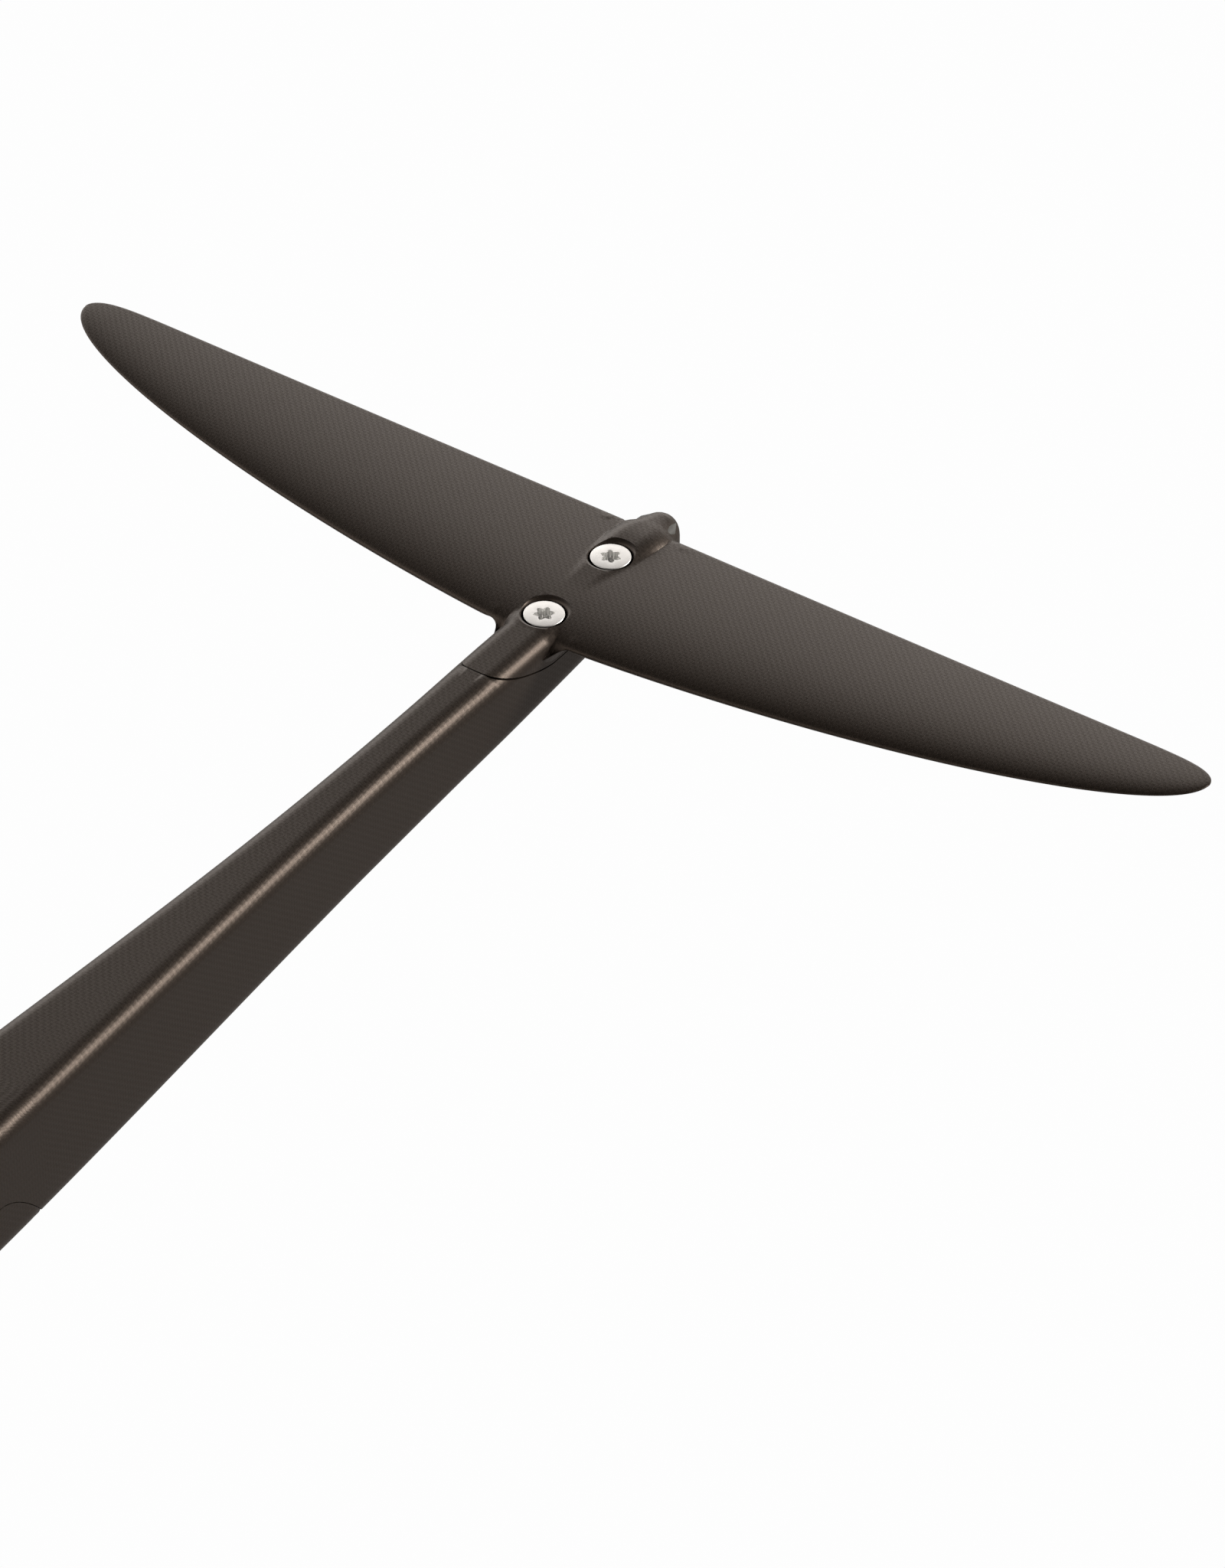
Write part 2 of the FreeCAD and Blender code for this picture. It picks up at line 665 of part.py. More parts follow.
def board_plate():
    """The plate that bolts to the board, with a collar round the mast's head."""
    plate = rounded_plate(PLATE_LENGTH, PLATE_WIDTH, PLATE_THICKNESS, PLATE_CORNER_RADIUS, PLATE_TOP_Z)
    collar_low = MAST_HEAD_Z - PLATE_SOCKET_DEPTH
    collar = mast_section(collar_low, grow=COLLAR_WALL).extrude(Vector(0, 0, PLATE_SOCKET_DEPTH))
    plate = plate.fuse(collar).removeSplitter()
    plate = plate.cut(mast_section(collar_low).extrude(Vector(0, 0, PLATE_SOCKET_DEPTH)))
    for x_side in (-1, 1):
        for y_side in (-1, 1):
            x = MAST_X + x_side * BOLT_SPACING_X / 2
            y = y_side * BOLT_SPACING_Y / 2
            plate = plate.cut(bolt_slot(x, y, PLATE_TOP_Z))
    for x in mast_screw_positions():
        head_z = PLATE_TOP_Z - HEAD_RECESS
        plate = plate.cut(
            countersunk_hole(x, head_z, M8_RADIUS, M8_HEAD_RADIUS, MAST_SCREW_LENGTH, 1)
        )
    return {"board_plate": plate}


def main():
    """Build every piece and write one file for each."""
    hull = hull_solid()
    hull_space = hull_solid(FUSELAGE_WALL)
    nodes, foot_holes = mast()
    nodes.update(board_plate())
    nodes.update(fuselage(hull, hull_space, foot_holes))
    nodes.update(stabiliser(hull, hull_space))
    nodes.update(front_wing(hull, hull_space))
    os.makedirs("parts", exist_ok=True)
    for name, shape in sorted(nodes.items()):
        solids = solids_of(shape)
        piece = solids[0] if len(solids) == 1 else Part.makeCompound(solids)
        piece.translate(ROW_SHIFT)
        piece.exportStep("parts/" + name + ".step")
        print(name, len(solids), round(piece.Volume), piece.isValid())


main()
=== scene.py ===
"""A bolted hydrofoil: board plate, mast, fuselage, front wing and stabiliser, as they look.

Shapes are worked out in millimetres in the fuselage's own frame, whose origin lies between the two
stabiliser screws on the flat top of the tail: +X forward, +Y to port, +Z up. A finished piece is scaled
to metres and moved to where the frame holds those screws.
"""

import logging
import math
from dataclasses import dataclass, field
from enum import Enum
from functools import partial
from typing import Callable, Iterable, Sequence

import bmesh
import bpy
from mathutils import Matrix, Vector


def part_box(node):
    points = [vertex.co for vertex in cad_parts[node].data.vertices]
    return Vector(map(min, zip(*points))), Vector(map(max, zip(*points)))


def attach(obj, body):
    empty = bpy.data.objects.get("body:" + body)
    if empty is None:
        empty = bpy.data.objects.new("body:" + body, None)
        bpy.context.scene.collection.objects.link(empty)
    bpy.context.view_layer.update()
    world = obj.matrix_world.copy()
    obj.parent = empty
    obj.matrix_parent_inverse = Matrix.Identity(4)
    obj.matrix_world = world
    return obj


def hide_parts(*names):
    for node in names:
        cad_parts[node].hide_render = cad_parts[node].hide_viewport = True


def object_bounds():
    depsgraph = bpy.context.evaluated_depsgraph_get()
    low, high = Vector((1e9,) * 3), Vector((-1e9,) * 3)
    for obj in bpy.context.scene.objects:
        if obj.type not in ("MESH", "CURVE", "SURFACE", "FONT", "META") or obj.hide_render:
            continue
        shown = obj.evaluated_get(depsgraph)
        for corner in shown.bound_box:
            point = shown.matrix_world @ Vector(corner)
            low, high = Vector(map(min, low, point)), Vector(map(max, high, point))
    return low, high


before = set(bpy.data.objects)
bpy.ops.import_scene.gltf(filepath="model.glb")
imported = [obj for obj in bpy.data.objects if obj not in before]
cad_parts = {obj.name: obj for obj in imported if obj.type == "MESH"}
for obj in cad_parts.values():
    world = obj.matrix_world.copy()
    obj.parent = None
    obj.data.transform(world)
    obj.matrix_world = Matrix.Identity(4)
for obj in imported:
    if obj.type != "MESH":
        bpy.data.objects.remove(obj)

CAD_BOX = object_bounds()
LOG = logging.getLogger("hydrofoil")
MM = 0.001
BODY = "root"
HEAD_RECESS = 0.7
MERGE_DISTANCE = 2e-4
SHARP_ANGLE = math.radians(38)

Point = tuple[float, float, float]
Pair = tuple[float, float]
Placed = tuple[Point, Pair]
Placer = Callable[[int, int], Placed]
Mesh = bmesh.types.BMesh
NodeTree = bpy.types.NodeTree
Socket = bpy.types.NodeSocket
Material = bpy.types.Material


class Facing(Enum):
    """Which way the outside of a saddle faces: up on the tail, down under the nose."""

    UP = 1
    DOWN = -1


class Side(Enum):
    """A side of the middle plane."""

    PORT = 1
    STARBOARD = -1


# ---- Arithmetic ----


def clamp(value: float, low: float = 0.0, high: float = 1.0) -> float:
    """The value, held between low and high."""
    return min(max(value, low), high)


def ease(share: float) -> float:
    """A number that eases from 0 to 1 as share goes from 0 to 1, and stays there beyond."""
    share = clamp(share)
    return share * share * (3 - 2 * share)


def mix(first: float, second: float, share: float) -> float:
    """The number that lies a share of the way from first to second."""
    return first + (second - first) * share


def soft_max(first: float, second: float, blend: float) -> float:
    """The greater number, with the corner where the two cross filled.

    Args:
        first: A number.
        second: The other number.
        blend: How close the two lie where the filling starts.

    Returns:
        The rounded greater number.
    """
    if blend <= 0:
        return max(first, second)
    overlap = max(blend - abs(first - second), 0.0) / blend
    return max(first, second) + overlap * overlap * blend / 4


def soft_min(first: float, second: float, blend: float) -> float:
    """The lesser number, with the corner where the two cross filled over a height of blend."""
    return -soft_max(-first, -second, blend)


def quarter_round(distance: float, radius: float) -> float:
    """How far a rounded edge has dropped at a distance into its radius."""
    inside = clamp(distance, 0.0, radius)
    return radius - math.sqrt(radius * radius - inside * inside)


def cosine_shares(count: int) -> list[float]:
    """Shares from 0 to 1 that lie closest together at both ends."""
    return [(1 - math.cos(math.pi * step / count)) / 2 for step in range(count + 1)]


def even_run(start: float, end: float, count: int) -> list[float]:
    """Evenly spaced numbers from start to end, both included."""
    return [mix(start, end, step / count) for step in range(count + 1)]


def closing_run(start: float, end: float, count: int, power: float = 2.0) -> list[float]:
    """Numbers from start to end that lie ever closer towards the end."""
    return [mix(end, start, (1 - step / count) ** power) for step in range(count + 1)]


def section_half(station: float) -> float:
    """Half the thickness of a standard symmetrical section.

    Args:
        station: Share of the chord behind the leading edge.

    Returns:
        The half thickness, for a section whose full thickness is one.
    """
    shape = 0.2969 * math.sqrt(station) - 0.1260 * station - 0.3516 * station**2
    shape += 0.2843 * station**3 - 0.1036 * station**4
    return 5 * shape


# ---- Mesh work ----


def placed(name: str, data: bpy.types.ID) -> bpy.types.Object:
    """A new object in the scene that shows a mesh, a camera or a lamp."""
    made = bpy.data.objects.new(name, data)
    bpy.context.scene.collection.objects.link(made)
    return made


@dataclass
class Workshop:
    """Makes meshes in millimetres and turns them into finished pieces in the frame.

    Args:
        origin: Where the fuselage's own origin lies in the frame, in metres.
    """

    origin: Vector

    def start(self) -> Mesh:
        """An empty mesh with a layer for the lie of the cloth."""
        mesh = bmesh.new()
        mesh.loops.layers.uv.new("weave")
        return mesh

    def sheet(self, mesh: Mesh, columns: int, rows: int, place: Placer) -> None:
        """Adds a grid of faces and puts each of its points in place.

        Args:
            mesh: The mesh that the sheet joins.
            columns: Steps along the first direction.
            rows: Steps along the second direction.
            place: Gives a point and its place on the cloth from its column and row.
        """
        weave = mesh.loops.layers.uv["weave"]
        made = bmesh.ops.create_grid(mesh, x_segments=columns, y_segments=rows, size=1.0)
        cloth = {}
        for point in made["verts"]:
            column = round((point.co.x + 1) / 2 * columns)
            row = round((point.co.y + 1) / 2 * rows)
            point.co, cloth[point] = place(column, row)
        for face in {face for point in made["verts"] for face in point.link_faces}:
            for corner in face.loops:
                along, across = cloth[corner.vert]
                corner[weave].uv = (along * MM, across * MM)

    def close(self, mesh: Mesh) -> None:
        """Joins the sheets of a mesh along their shared edges and turns its faces outwards."""
        bmesh.ops.remove_doubles(mesh, verts=mesh.verts, dist=MERGE_DISTANCE)
        bmesh.ops.dissolve_degenerate(mesh, dist=MERGE_DISTANCE / 2, edges=mesh.edges)
        bmesh.ops.recalc_face_normals(mesh, faces=mesh.faces)

    def raw_object(self, mesh: Mesh, name: str) -> bpy.types.Object:
        """Turns a mesh in millimetres into an object in the frame.

        Args:
            mesh: The mesh, which is used up.
            name: The object's name.

        Returns:
            The object, not yet dressed.
        """
        bmesh.ops.scale(mesh, vec=(MM, MM, MM), verts=mesh.verts)
        bmesh.ops.translate(mesh, vec=self.origin, verts=mesh.verts)
        data = bpy.data.meshes.new(name)
        mesh.to_mesh(data)
        mesh.free()
        return placed(name, data)

    def carve(self, target: bpy.types.Object, cutters: Iterable[Mesh]) -> None:
        """Cuts closed shapes out of an object.

        Args:
            target: The object that is cut.
            cutters: Closed meshes in millimetres, which are used up.
        """
        tools = [self.raw_object(cutter, "cutter") for cutter in cutters]
        for tool in tools:
            cut = target.modifiers.new("cut", "BOOLEAN")
            cut.operation = "DIFFERENCE"
            cut.solver = "EXACT"
            cut.object = tool
        depsgraph = bpy.context.evaluated_depsgraph_get()
        carved = bpy.data.meshes.new_from_object(target.evaluated_get(depsgraph))
        target.modifiers.clear()
        target.data = carved
        for tool in tools:
            bpy.data.objects.remove(tool)

    def finish(
        self,
        piece: bpy.types.Object,
        finish: "Finish",
        replaced: Sequence[str],
        painted_shade: "Finish | None" = None,
    ) -> None:
        """Shades a piece, dresses it, ties it to the body and hides the nodes that it stands for.

        Args:
            piece: The new piece.
            finish: What it is made of.
            replaced: The nodes that it replaces.
            painted_shade: The finish of the faces that were given material number 1, a painted shade, if
                there are any.
        """
        data = piece.data
        data.materials.clear()
        data.materials.append(finish.material())
        if painted_shade:
            data.materials.append(painted_shade.material())
        data.polygons.foreach_set("use_smooth", [True] * len(data.polygons))
        data.set_sharp_from_angle(angle=SHARP_ANGLE)
        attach(piece, BODY)
        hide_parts(*replaced)
        LOG.info("%s: %d faces", piece.name, len(data.polygons))


# ---- Shader groups that several finishes share ----


def add(tree: NodeTree, kind: str) -> bpy.types.Node:
    """A new shader node of a kind."""
    return tree.nodes.new("ShaderNode" + kind)


def connect(tree: NodeTree, value: object, socket: Socket) -> None:
    """Links a socket to a socket, or sets a number or colour on it.

    Args:
        tree: The tree that holds both.
        value: A socket, a number or a colour.
        socket: The input that takes it.
    """
    if isinstance(value, Socket):
        tree.links.new(value, socket)
    else:
        socket.default_value = value


class NodeWork:
    """A node tree under construction, with the helper that groups and materials share."""

    tree: NodeTree

    def math(self, operation: str, *values: object) -> Socket:
        """Adds a Math node.

        Args:
            operation: What it does.
            values: Sockets or numbers for its inputs, in order.

        Returns:
            Its result.
        """
        node = add(self.tree, "Math")
        node.operation = operation
        for socket, value in zip(node.inputs, values):
            connect(self.tree, value, socket)
        return node.outputs[0]


class ShaderGroup(NodeWork):
    """A shader node group under construction, with helpers that add and join its nodes."""

    def __init__(self, name: str, inputs: Sequence[tuple[str, str, float]], outputs: Sequence[str]) -> None:
        """Starts the group.

        Args:
            name: The group's name.
            inputs: Name, socket type and starting value of each input.
            outputs: Names of the outputs, all plain values.
        """
        self.tree = bpy.data.node_groups.new(name, "ShaderNodeTree")
        for title, kind, value in inputs:
            socket = self.tree.interface.new_socket(title, in_out="INPUT", socket_type=kind)
            if kind == "NodeSocketFloat":
                socket.default_value = value
        for title in outputs:
            self.tree.interface.new_socket(title, in_out="OUTPUT", socket_type="NodeSocketFloat")
        self.source = self.tree.nodes.new("NodeGroupInput")
        self.sink = self.tree.nodes.new("NodeGroupOutput")

    def noise(self, vector: object, scale: object, detail: float, roughness: float) -> Socket:
        """Adds a Noise texture.

        Args:
            vector: Where it is read.
            scale: How many lumps there are to a metre.
            detail: How many finer layers it has.
            roughness: How strong the finer layers are.

        Returns:
            Its value, from 0 to 1.
        """
        node = add(self.tree, "TexNoise")
        node.inputs["Detail"].default_value = detail
        node.inputs["Roughness"].default_value = roughness
        connect(self.tree, vector, node.inputs["Vector"])
        connect(self.tree, scale, node.inputs["Scale"])
        return node.outputs["Fac"]

    def remap(self, value: object, low: float, high: float, to_low: float, to_high: float) -> object:
        """Moves a value smoothly from one range to another.

        Args:
            value: The socket that gives the value.
            low: Start of the first range.
            high: End of the first range.
            to_low: Start of the second range.
            to_high: End of the second range.

        Returns:
            The moved value's socket.
        """
        node = add(self.tree, "MapRange")
        node.interpolation_type = "SMOOTHSTEP"
        numbers = (low, high, to_low, to_high)
        for title, number in zip(("From Min", "From Max", "To Min", "To Max"), numbers):
            node.inputs[title].default_value = number
        connect(self.tree, value, node.inputs["Value"])
        return node.outputs["Result"]

    def give(self, title: str, value: Socket) -> None:
        """Joins a value to one of the group's outputs."""
        self.tree.links.new(value, self.sink.inputs[title])


def weave_group() -> NodeTree:
    """Plain woven cloth: which tow lies on top, and how its round back rises and falls.

    Returns:
        The group's tree.
    """
    group = ShaderGroup(
        "plain_weave",
        [("Cloth", "NodeSocketVector", 0), ("Pitch", "NodeSocketFloat", 0.001)],
        ["Height", "Warp"],
    )
    split = add(group.tree, "SeparateXYZ")
    group.tree.links.new(group.source.outputs["Cloth"], split.inputs[0])
    pitch = group.source.outputs["Pitch"]
    along = group.math("DIVIDE", split.outputs["X"], pitch)
    across = group.math("DIVIDE", split.outputs["Y"], pitch)
    cell = group.math("ADD", group.math("FLOOR", along), group.math("FLOOR", across))
    warp_on_top = group.math("PINGPONG", cell, 1.0)
    warp_back = group.math("ABSOLUTE", group.math("SINE", group.math("MULTIPLY", across, math.pi)))
    weft_back = group.math("ABSOLUTE", group.math("SINE", group.math("MULTIPLY", along, math.pi)))
    warp_part = group.math("MULTIPLY", warp_back, warp_on_top)
    weft_on_top = group.math("SUBTRACT", 1.0, warp_on_top)
    weft_part = group.math("MULTIPLY", weft_back, weft_on_top)
    group.give("Height", group.math("ADD", warp_part, weft_part))
    group.give("Warp", warp_on_top)
    return group.tree


def grain_group() -> NodeTree:
    """Fine unevenness over soft clouds, each as a value about one half.

    Returns:
        The group's tree.
    """
    group = ShaderGroup(
        "grain",
        [
            ("Place", "NodeSocketVector", 0),
            ("Fine scale", "NodeSocketFloat", 900.0),
            ("Cloud scale", "NodeSocketFloat", 14.0),
        ],
        ["Fine", "Clouds"],
    )
    place = group.source.outputs["Place"]
    group.give("Fine", group.noise(place, group.source.outputs["Fine scale"], 3.0, 0.6))
    group.give("Clouds", group.noise(place, group.source.outputs["Cloud scale"], 2.0, 0.5))
    return group.tree


def scratch_group() -> NodeTree:
    """Thin scratches that run along X, thinned out by clouds, as a mask from 0 to 1.

    Returns:
        The group's tree.
    """
    group = ShaderGroup(
        "scratches",
        [("Place", "NodeSocketVector", 0), ("Scale", "NodeSocketFloat", 260.0)],
        ["Mask"],
    )
    stretch = add(group.tree, "Mapping")
    stretch.inputs["Scale"].default_value = (0.04, 1.0, 1.0)
    group.tree.links.new(group.source.outputs["Place"], stretch.inputs["Vector"])
    lines = group.noise(stretch.outputs["Vector"], group.source.outputs["Scale"], 4.0, 0.65)
    patches = group.noise(group.source.outputs["Place"], 22.0, 1.0, 0.5)
    thin = group.remap(lines, 0.62, 0.74, 0.0, 1.0)
    group.give("Mask", group.math("MULTIPLY", thin, group.remap(patches, 0.45, 0.7, 0.0, 1.0)))
    return group.tree


def wear_group() -> NodeTree:
    """Where a piece's outer edges are rubbed, broken up by grain, as a mask from 0 to 1.

    Returns:
        The group's tree.
    """
    group = ShaderGroup(
        "edge_wear",
        [
            ("Place", "NodeSocketVector", 0),
            ("Start", "NodeSocketFloat", 0.52),
            ("Grain scale", "NodeSocketFloat", 300.0),
        ],
        ["Mask"],
    )
    geometry = add(group.tree, "NewGeometry")
    raised = group.math("SUBTRACT", geometry.outputs["Pointiness"], group.source.outputs["Start"])
    edges = group.remap(raised, 0.0, 0.08, 0.0, 1.0)
    grain = group.noise(group.source.outputs["Place"], group.source.outputs["Grain scale"], 4.0, 0.6)
    group.give("Mask", group.math("MULTIPLY", edges, group.remap(grain, 0.4, 0.62, 0.15, 1.0)))
    return group.tree


class Groups:
    """The shared groups, each built the first time that a finish asks for it."""

    built: dict[str, NodeTree] = {}
    makers: dict[str, Callable[[], NodeTree]] = {
        "weave": weave_group,
        "grain": grain_group,
        "scratches": scratch_group,
        "wear": wear_group,
    }

    @classmethod
    def get(cls, name: str) -> NodeTree:
        """The shared group of that name."""
        if name not in cls.built:
            cls.built[name] = cls.makers[name]()
        return cls.built[name]


# ---- Finishes ----


class MaterialBench(NodeWork):
    """One material under construction: its Principled shader and the nodes that feed it."""

    def __init__(self, name: str) -> None:
        """Starts an empty material with a Principled shader.

        Args:
            name: The material's name.
        """
        self.material = bpy.data.materials.new(name)
        self.material.use_nodes = True
        self.tree = self.material.node_tree
        self.tree.nodes.clear()
        self.shader = add(self.tree, "BsdfPrincipled")
        output = add(self.tree, "OutputMaterial")
        self.tree.links.new(self.shader.outputs[0], output.inputs["Surface"])
        self.place = add(self.tree, "TexCoord").outputs["Object"]

    def cloth(self) -> Socket:
        """The piece's own place on the cloth."""
        node = add(self.tree, "UVMap")
        node.uv_map = "weave"
        return node.outputs[0]

    def set(self, **values: object) -> None:
        """Sets constants on the shader, with words joined by underscores for its socket names."""
        for title, value in values.items():
            self.shader.inputs[title.replace("_", " ")].default_value = value

    def group(self, name: str, **values: object) -> bpy.types.Node:
        """Places a shared group.

        Args:
            name: The group's name in Groups.
            values: Its inputs, with underscores for spaces.

        Returns:
            The group's node.
        """
        node = add(self.tree, "Group")
        node.node_tree = Groups.get(name)
        for title, value in values.items():
            connect(self.tree, value, node.inputs[title.replace("_", " ")])
        return node

    def blend(self, share: object, first: object, second: object) -> Socket:
        """Adds a colour mix.

        Args:
            share: 0 for the first colour and 1 for the second.
            first: A colour or its socket.
            second: The other colour or its socket.

        Returns:
            The mixed colour's socket.
        """
        node = add(self.tree, "Mix")
        node.data_type = "RGBA"
        connect(self.tree, share, node.inputs["Factor"])
        connect(self.tree, first, node.inputs[6])
        connect(self.tree, second, node.inputs[7])
        return node.outputs[2]

    def varied(self, base: float, *parts: tuple[float, object]) -> Socket:
        """Adds up masks.

        Args:
            base: The number that they are added to.
            parts: The weight and the mask of each part.

        Returns:
            The sum's socket.
        """
        total = None
        for weight, mask in parts:
            part = self.math("MULTIPLY", mask, weight)
            total = self.math("ADD", part, base if total is None else total)
        return total

    def feed(self, title: str, value: Socket) -> None:
        """Joins a value to one of the shader's inputs."""
        self.tree.links.new(value, self.shader.inputs[title])

    def bump(self, height: Socket, distance: float, strength: float) -> None:
        """Raises the surface by a height map.

        Args:
            height: The height map's socket.
            distance: The height of its full value, in metres.
            strength: How strongly it shows.
        """
        node = add(self.tree, "Bump")
        node.inputs["Distance"].default_value = distance
        node.inputs["Strength"].default_value = strength
        self.tree.links.new(height, node.inputs["Height"])
        self.tree.links.new(node.outputs["Normal"], self.shader.inputs["Normal"])


def shade(colour: Point, factor: float) -> tuple[float, float, float, float]:
    """A colour made lighter or darker, with full alpha."""
    return (*(channel * factor for channel in colour), 1.0)


@dataclass(frozen=True)
class Finish:
    """What a piece is made of and how its surface was left.

    Args:
        name: The material's name.
        slot: The record's material slot. Not used.
        colour: The base colour, linear.
        roughness: The mean roughness.
    """

    name: str
    slot: str
    colour: Point
    roughness: float

    def material(self) -> Material:
        """The finished material, built once."""
        found = bpy.data.materials.get(self.name)
        return found if found else self.build(MaterialBench(self.name))

    def build(self, bench: MaterialBench) -> Material:
        """Builds the material's nodes on a bench."""
        raise NotImplementedError


@dataclass(frozen=True)
class CarbonFinish(Finish):
    """Moulded carbon cloth under a satin surface.

    Args:
        pitch: Width of one tow in metres.
        weave_tone: How much lighter one set of tows looks than the other.
        weave_depth: How far the tows' backs stand out, in metres.
        grain_tone: How much the fine grain lightens and darkens the colour.
        gloss: Strength of the surface's own reflection.
        tint: Colour of that reflection.
        wrapped: Whether the cloth follows the piece's own sheets, or lies flat through a solid block.
    """

    pitch: float = 0.0011
    weave_tone: float = 0.16
    weave_depth: float = 0.00003
    grain_tone: float = 0.9
    gloss: float = 0.29
    tint: Point = (1.0, 0.8, 0.66)
    wrapped: bool = True

    def build(self, bench: MaterialBench) -> Material:
        """Builds the cloth, its grain, faint handling marks and the satin gloss.

        Args:
            bench: The material under construction.

        Returns:
            The material.
        """
        lie = bench.cloth() if self.wrapped else bench.place
        cloth = bench.group("weave", Cloth=lie, Pitch=self.pitch)
        grain = bench.group("grain", Place=bench.place, Fine_scale=1900.0, Cloud_scale=9.0)
        tone = bench.varied(
            1.0 - self.grain_tone / 2 - self.weave_tone / 2,
            (self.grain_tone, grain.outputs["Fine"]),
            (self.weave_tone, cloth.outputs["Warp"]),
        )
        dark, light = shade(self.colour, 0.0), shade(self.colour, 2.0)
        bench.feed("Base Color", bench.blend(bench.math("MULTIPLY", tone, 0.5), dark, light))
        rough = bench.varied(
            self.roughness - 0.08,
            (0.08, grain.outputs["Clouds"]),
            (0.06, grain.outputs["Fine"]),
            (0.03, cloth.outputs["Warp"]),
        )
        bench.feed("Roughness", rough)
        height = bench.varied(0.0, (1.0, cloth.outputs["Height"]), (1.2, grain.outputs["Fine"]))
        bench.bump(height, self.weave_depth, 0.5)
        bench.set(Specular_IOR_Level=self.gloss, Specular_Tint=shade(self.tint, 1.0))
        return bench.material


@dataclass(frozen=True)
class MetalFinish(Finish):
    """Turned, brushed or anodised metal.

    Args:
        metallic: How metallic the surface is.
        worn_colour: The colour of rubbed edges.
        wear: How strongly the edges are rubbed.
        scratch: How deep fine scratches look, in metres.
    """

    metallic: float = 1.0
    worn_colour: Point = (0.8, 0.78, 0.75)
    wear: float = 0.5
    scratch: float = 0.00002

    def build(self, bench: MaterialBench) -> Material:
        """Builds the metal with its rubbed edges, fine scratches and clouded gloss.

        Args:
            bench: The material under construction.

        Returns:
            The material.
        """
        grain = bench.group("grain", Place=bench.place, Fine_scale=2600.0, Cloud_scale=60.0)
        scratches = bench.group("scratches", Place=bench.place, Scale=900.0)
        wear = bench.group("wear", Place=bench.place, Grain_scale=700.0)
        rubbed = bench.math("MULTIPLY", wear.outputs["Mask"], self.wear)
        dull, bright = shade(self.colour, 0.93), shade(self.colour, 1.05)
        mottled = bench.blend(grain.outputs["Clouds"], dull, bright)
        bench.feed("Base Color", bench.blend(rubbed, mottled, shade(self.worn_colour, 1.0)))
        bench.set(Metallic=self.metallic)
        rough = bench.varied(
            self.roughness - 0.04,
            (0.08, grain.outputs["Clouds"]),
            (0.1, scratches.outputs["Mask"]),
            (-0.05, rubbed),
        )
        bench.feed("Roughness", rough)
        height = bench.varied(0.0, (0.4, grain.outputs["Fine"]), (-1.0, scratches.outputs["Mask"]))
        bench.bump(height, self.scratch, 0.4)
        return bench.material


@dataclass(frozen=True)
class FoamFinish(Finish):
    """Closed-cell foam as it was machined.

    Args:
        cell: Size of one cell in metres.
    """

    cell: float = 0.0009

    def build(self, bench: MaterialBench) -> Material:
        """Builds the foam's open cells and its slightly uneven colour.

        Args:
            bench: The material under construction.

        Returns:
            The material.
        """
        cells = add(bench.tree, "TexVoronoi")
        cells.inputs["Scale"].default_value = 1 / self.cell
        bench.tree.links.new(bench.place, cells.inputs["Vector"])
        grain = bench.group("grain", Place=bench.place, Fine_scale=700.0, Cloud_scale=18.0)
        tint = bench.math("MULTIPLY", cells.outputs["Distance"], 0.5)
        tint = bench.math("ADD", tint, bench.math("MULTIPLY", grain.outputs["Clouds"], 0.4))
        bench.feed("Base Color", bench.blend(tint, shade(self.colour, 1.0), shade(self.colour, 0.72)))
        bench.set(Roughness=self.roughness)
        bench.bump(cells.outputs["Distance"], self.cell / 3, 0.6)
        return bench.material


@dataclass(frozen=True)
class JointShadeFinish(Finish):
    """The bare laminate deep in a joint between two pieces, painted nearly black as the shade of the narrow
    gap.
    """

    def build(self, bench: MaterialBench) -> Material:
        """Builds a dull, nearly black surface with a little grain and almost no reflection: painted shade.

        Args:
            bench: The material under construction.

        Returns:
            The material.
        """
        grain = bench.group("grain", Place=bench.place, Fine_scale=1200.0, Cloud_scale=30.0)
        colour = bench.blend(grain.outputs["Fine"], shade(self.colour, 0.6), shade(self.colour, 1.4))
        bench.feed("Base Color", colour)
        bench.set(Roughness=self.roughness, Specular_IOR_Level=0.05)
        return bench.material


CARBON = CarbonFinish("satin_carbon", "carbon_skin", (0.011, 0.0085, 0.0068), 0.4)
LAMINATE = CarbonFinish(
    "solid_laminate", "solid_laminate", (0.02, 0.018, 0.016), 0.6, pitch=0.002, weave_tone=0.3, wrapped=False
)
FOAM = FoamFinish("machined_foam", "foam", (0.62, 0.57, 0.45), 0.85)
SCREW_STEEL = MetalFinish("screw_steel", "screw_steel", (0.99, 0.96, 0.93), 0.52, wear=0.2)
INSERT_METAL = MetalFinish("insert_metal", "insert_metal", (0.66, 0.6, 0.5), 0.35)
PLATE_METAL = MetalFinish(
    "black_anodising", "plate_metal", (0.022, 0.022, 0.024), 0.42, metallic=0.7, wear=0.35
)
# Dark steel for the faces inside the screw sockets: painted shade in the recesses.
SOCKET_SHADE = MetalFinish("socket_shadow", "screw_steel", (0.03, 0.026, 0.022), 0.6, wear=0.0)
# Nearly black, dull faces in the joints: painted shade of the narrow gaps.
JOINT_SHADE = JointShadeFinish("joint_shadow", "carbon_skin", (0.004, 0.0035, 0.003), 0.9)


# ---- The fuselage's outer shape, which both saddles share ----


@dataclass(frozen=True)
class Tongue:
    """The curved end of a saddle, seen from the side.

    Args:
        tip_x: Where its tip meets the surface.
        length: From the tip to where the seat runs flat, towards the saddle's middle.
        depth: From the surface at the tip down to the flat seat.
        power: How quickly the curve turns towards the flat.
    """

    tip_x: float
    length: float
    depth: float
    power: float

    def drop(self, x: float) -> float:
        """How far below the tip the seat lies at x, or a negative number beyond the tip."""
        share = (self.tip_x - x) / self.length
        if share < 0:
            return share * self.depth * self.power
        return self.depth * (1 - (1 - min(share, 1.0)) ** self.power)


